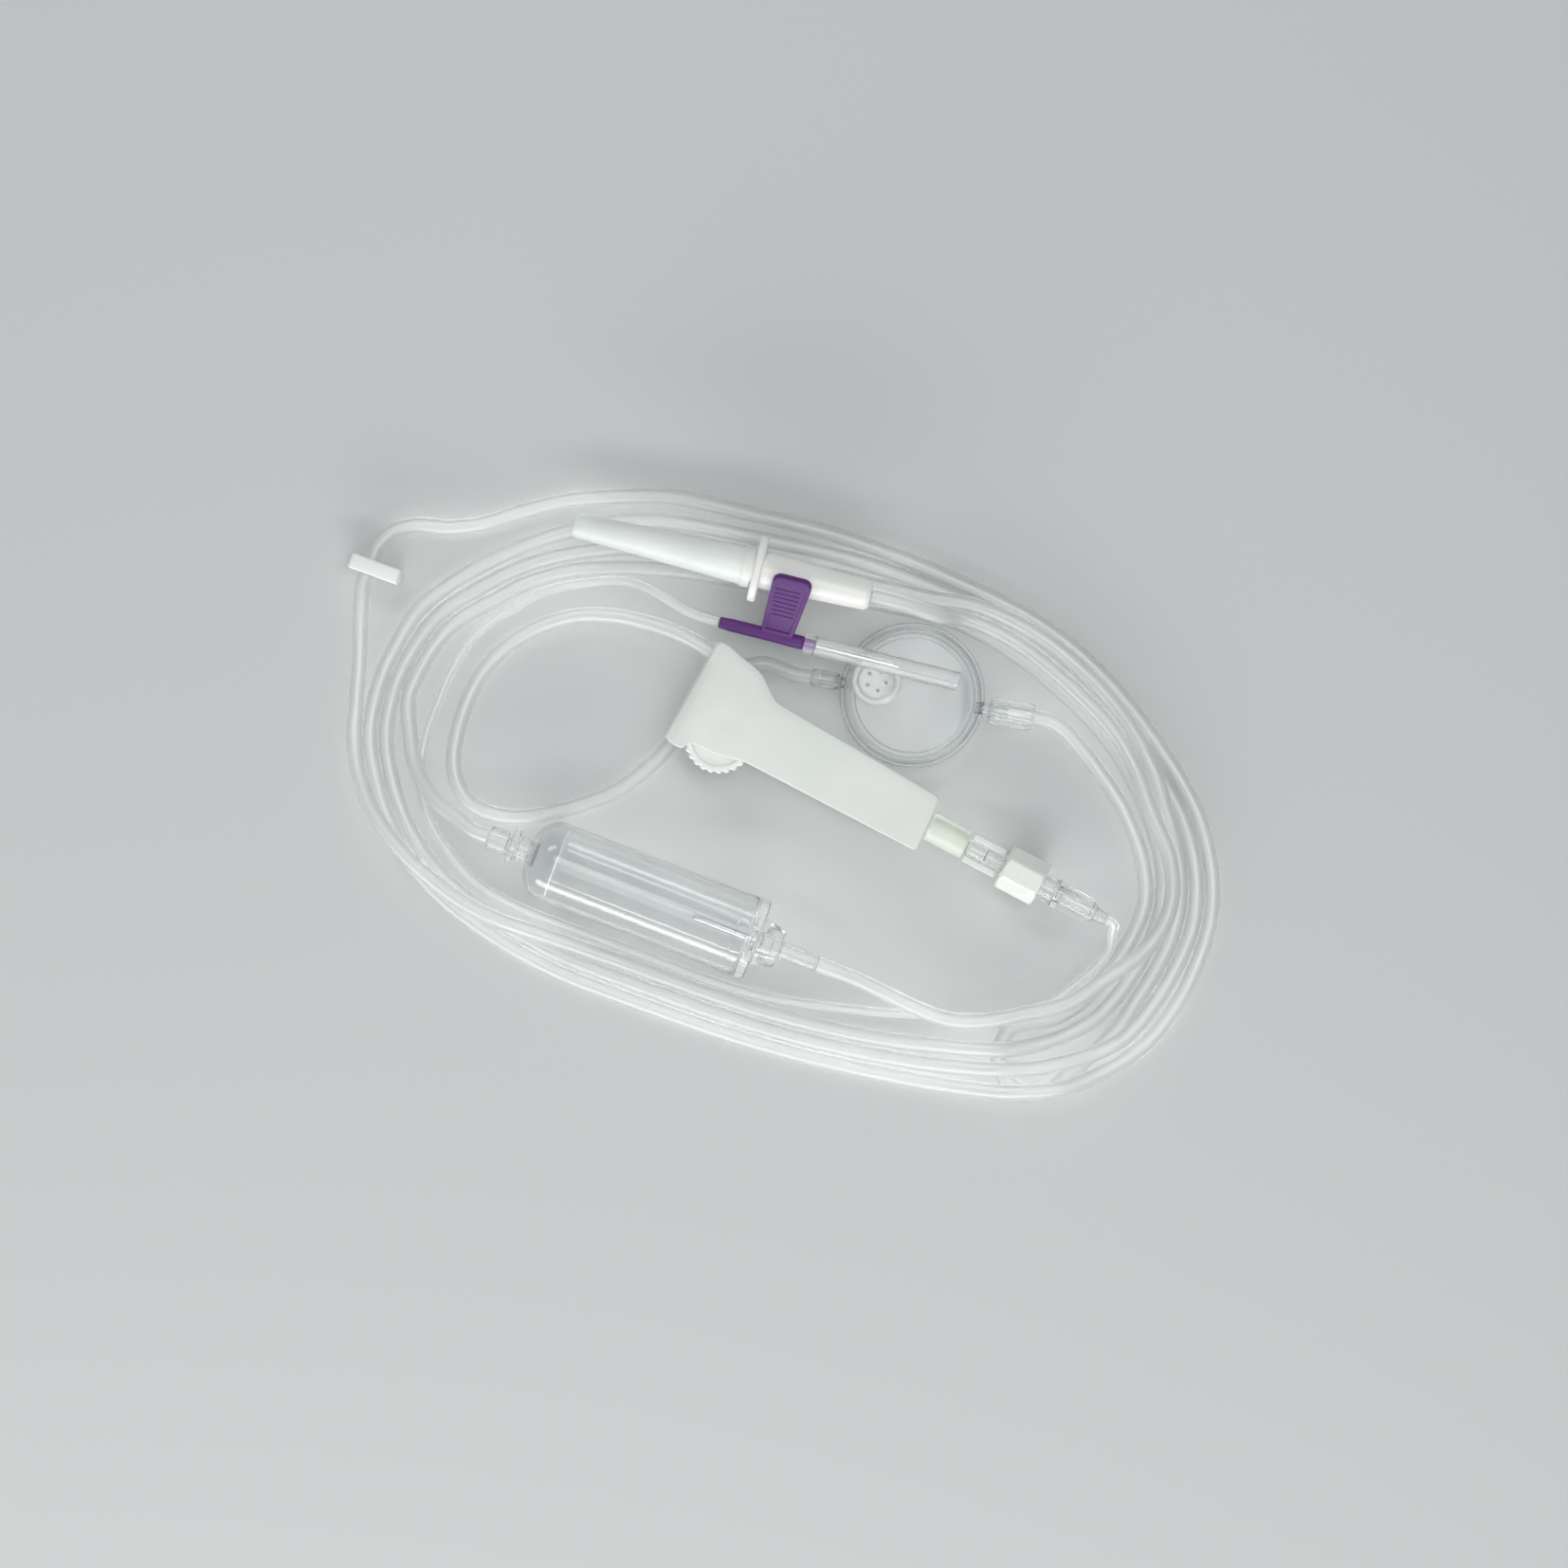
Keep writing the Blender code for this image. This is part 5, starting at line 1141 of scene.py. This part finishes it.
def make_clamp_body():
    place = axes("clamp")
    body = slab("clamp_body", rounded(CLAMP_OUTLINE, 0.0012), 0.0, CLAMP_THICK, place, bevel=0.0005)
    cut(body, slab("trough", rounded(CLAMP_TROUGH, 0.0008), CLAMP_WALL, CLAMP_THICK - CLAMP_WALL,
                   place, bevel=0.0002))
    hole = turned("head_hole", [(-0.003, 0.0), (-0.003, 0.0023), (0.006, 0.0023), (0.006, 0.0)],
                  "clamp", 0.0, 48, (0, 0.0222, CLAMP_THICK / 2))
    cut(body, hole)
    tilt = (place @ Matrix.Translation((*WHEEL_START, 0.0))
            @ Matrix.Rotation(math.radians(GROOVE_SLOPE), 4, "Z"))
    groove = [(centre + GROOVE_HALF * math.cos(a), GROOVE_HALF * math.sin(a))
              for centre, start in ((WHEEL_TRAVEL, -90), (0.0, 90))
              for a in (math.radians(start + 180 * k / 12) for k in range(13))]
    for low, high in ((0.0005, 0.0020), (CLAMP_THICK - 0.0020, CLAMP_THICK - 0.0005)):
        cut(body, slab("groove", groove, low, high, tilt, bevel=0.0))
    return fit(body, "set", "milky_clamp", "roller_clamp_body")


def make_wheel():
    place = axes("clamp") @ Matrix.Translation((*WHEEL_START, CLAMP_THICK / 2))
    axle = place @ Matrix.Rotation(math.radians(-90.0), 4, "Y")
    ribs = lambda angle, along, radius: (-0.0005 * (0.5 - 0.5 * math.cos(26 * angle)) ** 1.5
                                         if radius > 0.0075 else 0.0)
    half = 0.0043
    outline = [
        (-0.0054, 0.0), (-0.0054, 0.0015), (-0.0051, 0.0017), (-half + 0.0004, 0.0017),
        (-half + 0.0004, 0.0062), (-half, 0.0066), (-half, 0.0078), (-half + 0.0005, 0.0082),
        (half - 0.0005, 0.0082), (half, 0.0078), (half, 0.0066), (half - 0.0004, 0.0062),
        (half - 0.0004, 0.0017), (0.0051, 0.0017), (0.0054, 0.0015), (0.0054, 0.0),
    ]
    work = bmesh.new()
    turned_mesh(work, soften(outline, 0.0002), axle, 208, ribs)
    return fit(from_bmesh("wheel", work), "roller", "roller_white", "roller_wheel")


make_clamp_body()
make_wheel()
print("roller clamp and wheel")
# %% [markdown]
# ## Injection tube and luer connectors
#
# A soft tube for adding drugs, the male connector with its two grips, the white lock nut that
# spins on it, and the needle set's clear female connector.

# %% Luer connectors
def grip_plates(place, start, end, low, high, thick, slots=0):
    plates = []
    for sign in (1.0, -1.0):
        ys = sorted((sign * low, sign * high))
        plates.append(slab("grip", [(start, ys[0]), (end, ys[0]), (end, ys[1]), (start, ys[1])],
                           -thick / 2, thick / 2, place, bevel=0.0003))
        for k in range(slots):
            x = start + (end - start) * (k + 1) / (slots + 1)
            plates.append(slab("grip_rib", [(x - 0.00025, ys[0] - 0.0001), (x + 0.00025, ys[0] - 0.0001),
                                            (x + 0.00025, ys[1] + 0.0001), (x - 0.00025, ys[1] + 0.0001)],
                               -thick / 2 - 0.0002, thick / 2 + 0.0002, place, bevel=0.0001))
    return plates


def make_injection_tube():
    outline = [(0.0, 0.0031), (0.0005, 0.0034), (0.0092, 0.0034), (0.0098, 0.0031),
               (0.0098, 0.0019), (0.0, 0.0019)]
    return fit(turned("rubber", outline, "chain", 0.0003, 72), "set", "injection_rubber",
               "injection_tube")


def make_male_luer():
    body = turned("male_connector", [
        (0.0101, 0.0019), (0.0106, 0.0024), (0.0190, 0.0024), (0.0193, 0.0020), (0.0212, 0.0020),
        (0.0214, 0.0026), (0.0222, 0.0026), (0.0224, 0.0020), (0.0284, 0.00185), (0.0284, 0.0009),
        (0.0150, 0.0009), (0.0148, 0.0016), (0.0101, 0.0016),
    ], "chain", 0.0002, 64)
    fit(body, "set", "clear_connector", "male_luer")
    grips = merge("connector_grips", grip_plates(axes("chain"), 0.0104, 0.0188, 0.0021, 0.00365, 0.0028))
    fit(grips, "set", "milky_grips", "male_luer")


def make_lock_nut():
    def facets(angle, along, radius):
        if radius < 0.0050 or not 0.0200 < along < 0.0292:
            return 0.0
        near = (angle + math.pi / 8) % (math.pi / 4) - math.pi / 8
        return min(0.0, 0.0053 / math.cos(near) - radius)
    nut = turned("nut", [
        (0.0196, 0.0032), (0.0196, 0.0050), (0.0200, 0.0053), (0.0204, 0.0057), (0.0285, 0.0057),
        (0.0289, 0.0055), (0.0294, 0.0052), (0.0294, 0.0043), (0.0216, 0.0043), (0.0216, 0.0032),
    ], "chain", 0.0003, 96, (0, 0, 0), facets)
    return fit(nut, "lock_nut", "nut_white", "luer_lock_nut")


def make_female_luer():
    place = axes("chain")
    body = turned("female_body", [
        (0.0246, 0.0022), (0.0246, 0.0037), (0.0260, 0.0037), (0.0262, 0.0031), (0.0329, 0.0031),
        (0.0333, 0.0034), (0.0347, 0.0034), (0.0350, 0.0024), (0.0433, 0.0023), (0.0436, 0.0017),
        (0.0467, 0.0013), (0.0467, 0.0007), (0.0440, 0.0007), (0.0350, 0.0011), (0.0330, 0.0019),
    ], "chain", 0.0002, 64)
    bars = []
    for k in range(4):
        turn = place @ Matrix.Rotation(math.radians(90.0 * k + 12.0), 4, "X")
        bars.append(slab("bar", [(0.0352, 0.0020), (0.0428, 0.0020), (0.0424, 0.0029),
                                 (0.0352, 0.0033)], -0.0004, 0.0004, turn, bevel=0.0002))
    return fit(merge("female_connector", [body] + bars), "set", "clear_connector", "female_luer")


make_injection_tube()
make_male_luer()
make_lock_nut()
make_female_luer()
print("injection tube, connectors and nut")

# %% [markdown]
# ## Drip chamber
#
# A clear thin-walled cylinder with a domed foot. The foot's connector is a separate moulding, and
# so is the cap, whose flange, boss and nozzle step down to the inlet tube.

# %% Drip chamber
def make_chamber():
    outer, inner, start, end = 0.0095, 0.0085, 0.0100, 0.0640
    outline = [(start, 0.0030)]
    outline += [(start + 0.006 * (1 - math.cos(a)), 0.0030 + 0.0065 * math.sin(a))
                for a in (math.radians(90 * k / 10) for k in range(1, 11))]
    outline += [(end - 0.0030, outer), (end - 0.0026, outer + 0.0002), (end, outer + 0.0002),
                (end, inner)]
    outline += [(start + 0.0010 + 0.0052 * (1 - math.cos(a)), 0.0028 + 0.0057 * math.sin(a))
                for a in (math.radians(90 * k / 10) for k in range(10, -1, -1))]
    work = bmesh.new()
    turned_mesh(work, soften(outline, 0.0002, closed=True), axes("chamber"), 128)
    return fit(from_bmesh("chamber", work), "set", "clear_chamber", "drip_chamber")


def make_chamber_outlet():
    grips = lambda angle, along, r: (0.00025 * max(0.0, math.cos(12 * angle))
                                     if r > 0.0038 and 0.005 < along < 0.0072 else 0.0)
    body = turned("outlet", [
        (0.0, 0.00195), (0.0, 0.0025), (0.0004, 0.0029), (0.0052, 0.0029), (0.0054, 0.0040),
        (0.0068, 0.0040), (0.0070, 0.0029), (0.0097, 0.0029), (0.0097, 0.0010), (0.0048, 0.0010),
        (0.0046, 0.00195),
    ], "chamber", 0.0003, 96, (0, 0, 0), grips)
    return fit(body, "set", "clear_connector", "chamber_outlet")


def make_chamber_cap():
    grips = lambda angle, along, r: (0.00012 * max(0.0, math.cos(36 * angle))
                                     if r > 0.0095 else 0.0)
    body = turned("cap", [
        (0.0643, 0.0030), (0.0643, 0.0095), (0.0646, 0.0097), (0.0666, 0.0097), (0.0669, 0.0092),
        (0.0671, 0.0058), (0.0722, 0.0046), (0.0725, 0.0040), (0.0726, 0.0021), (0.0812, 0.0020),
        (0.0817, 0.0017), (0.0817, 0.0012), (0.0700, 0.0012), (0.0700, 0.0017), (0.0655, 0.0017),
        (0.0655, 0.0030),
    ], "chamber", 0.0003, 144, (0, 0, 0), grips)
    return fit(body, "set", "clear_connector", "chamber_cap")


def make_dropper():
    body = turned("dropper", [(0.0509, 0.0006), (0.0514, 0.0008), (0.0669, 0.0008),
                              (0.0669, 0.0005), (0.0509, 0.0005)], "chamber", 0.0001, 40)
    return fit(body, "set", "needle_steel", "chamber_dropper")


make_chamber()
make_chamber_outlet()
make_chamber_cap()
make_dropper()
print("drip chamber")

# %% [markdown]
# ## Slide clamp
#
# A small white plate on its edge. The tube goes through the round end of a keyhole, and pinches
# shut when the plate is pushed across it.

# %% Slide clamp
def make_slide_clamp():
    place = axes("slide")
    stand = place @ Matrix.Rotation(math.radians(90.0), 4, "X")
    half_thick = 0.0018
    plate = slab("plate", rounded([(-6.1, -3.8), (6.1, -3.8), (6.1, 3.8), (-6.1, 3.8)], 0.0010),
                 -half_thick, half_thick, stand, bevel=0.0005)
    hole, wide, narrow, end = -0.00155, 0.00215, 0.0006, 0.0047
    keyhole = [(hole + wide * math.cos(a), wide * math.sin(a))
               for a in (math.radians(17 + 326 * k / 28) for k in range(29))]
    keyhole += [(end - narrow + narrow * math.cos(a), narrow * math.sin(a))
                for a in (math.radians(-90 + 180 * k / 10) for k in range(11))]
    cut(plate, slab("keyhole", keyhole, -0.004, 0.004, stand, bevel=0.0))
    return fit(plate, "slide_clamp_plate", "slide_white", "slide_clamp")


make_slide_clamp()
print("slide clamp")
# %% [markdown]
# ## Finish what the CAD model already shows well
#
# These CAD pieces keep their shape. They get a finish and smooth shading.

# %% Finish the kept CAD pieces
KEPT_FINISHES = {
    "filter_membrane": "membrane", "vent_membrane": "membrane", "fluid_filter_mesh": "filter_mesh",
}
for name in sorted(KEPT_FINISHES):
    dress(NODES[name], KEPT_FINISHES[name])
    NODES[name].data.shade_smooth()
    NODES[name].data.set_sharp_from_angle(angle=math.radians(35))
print("kept CAD pieces:", sorted(KEPT_FINISHES))
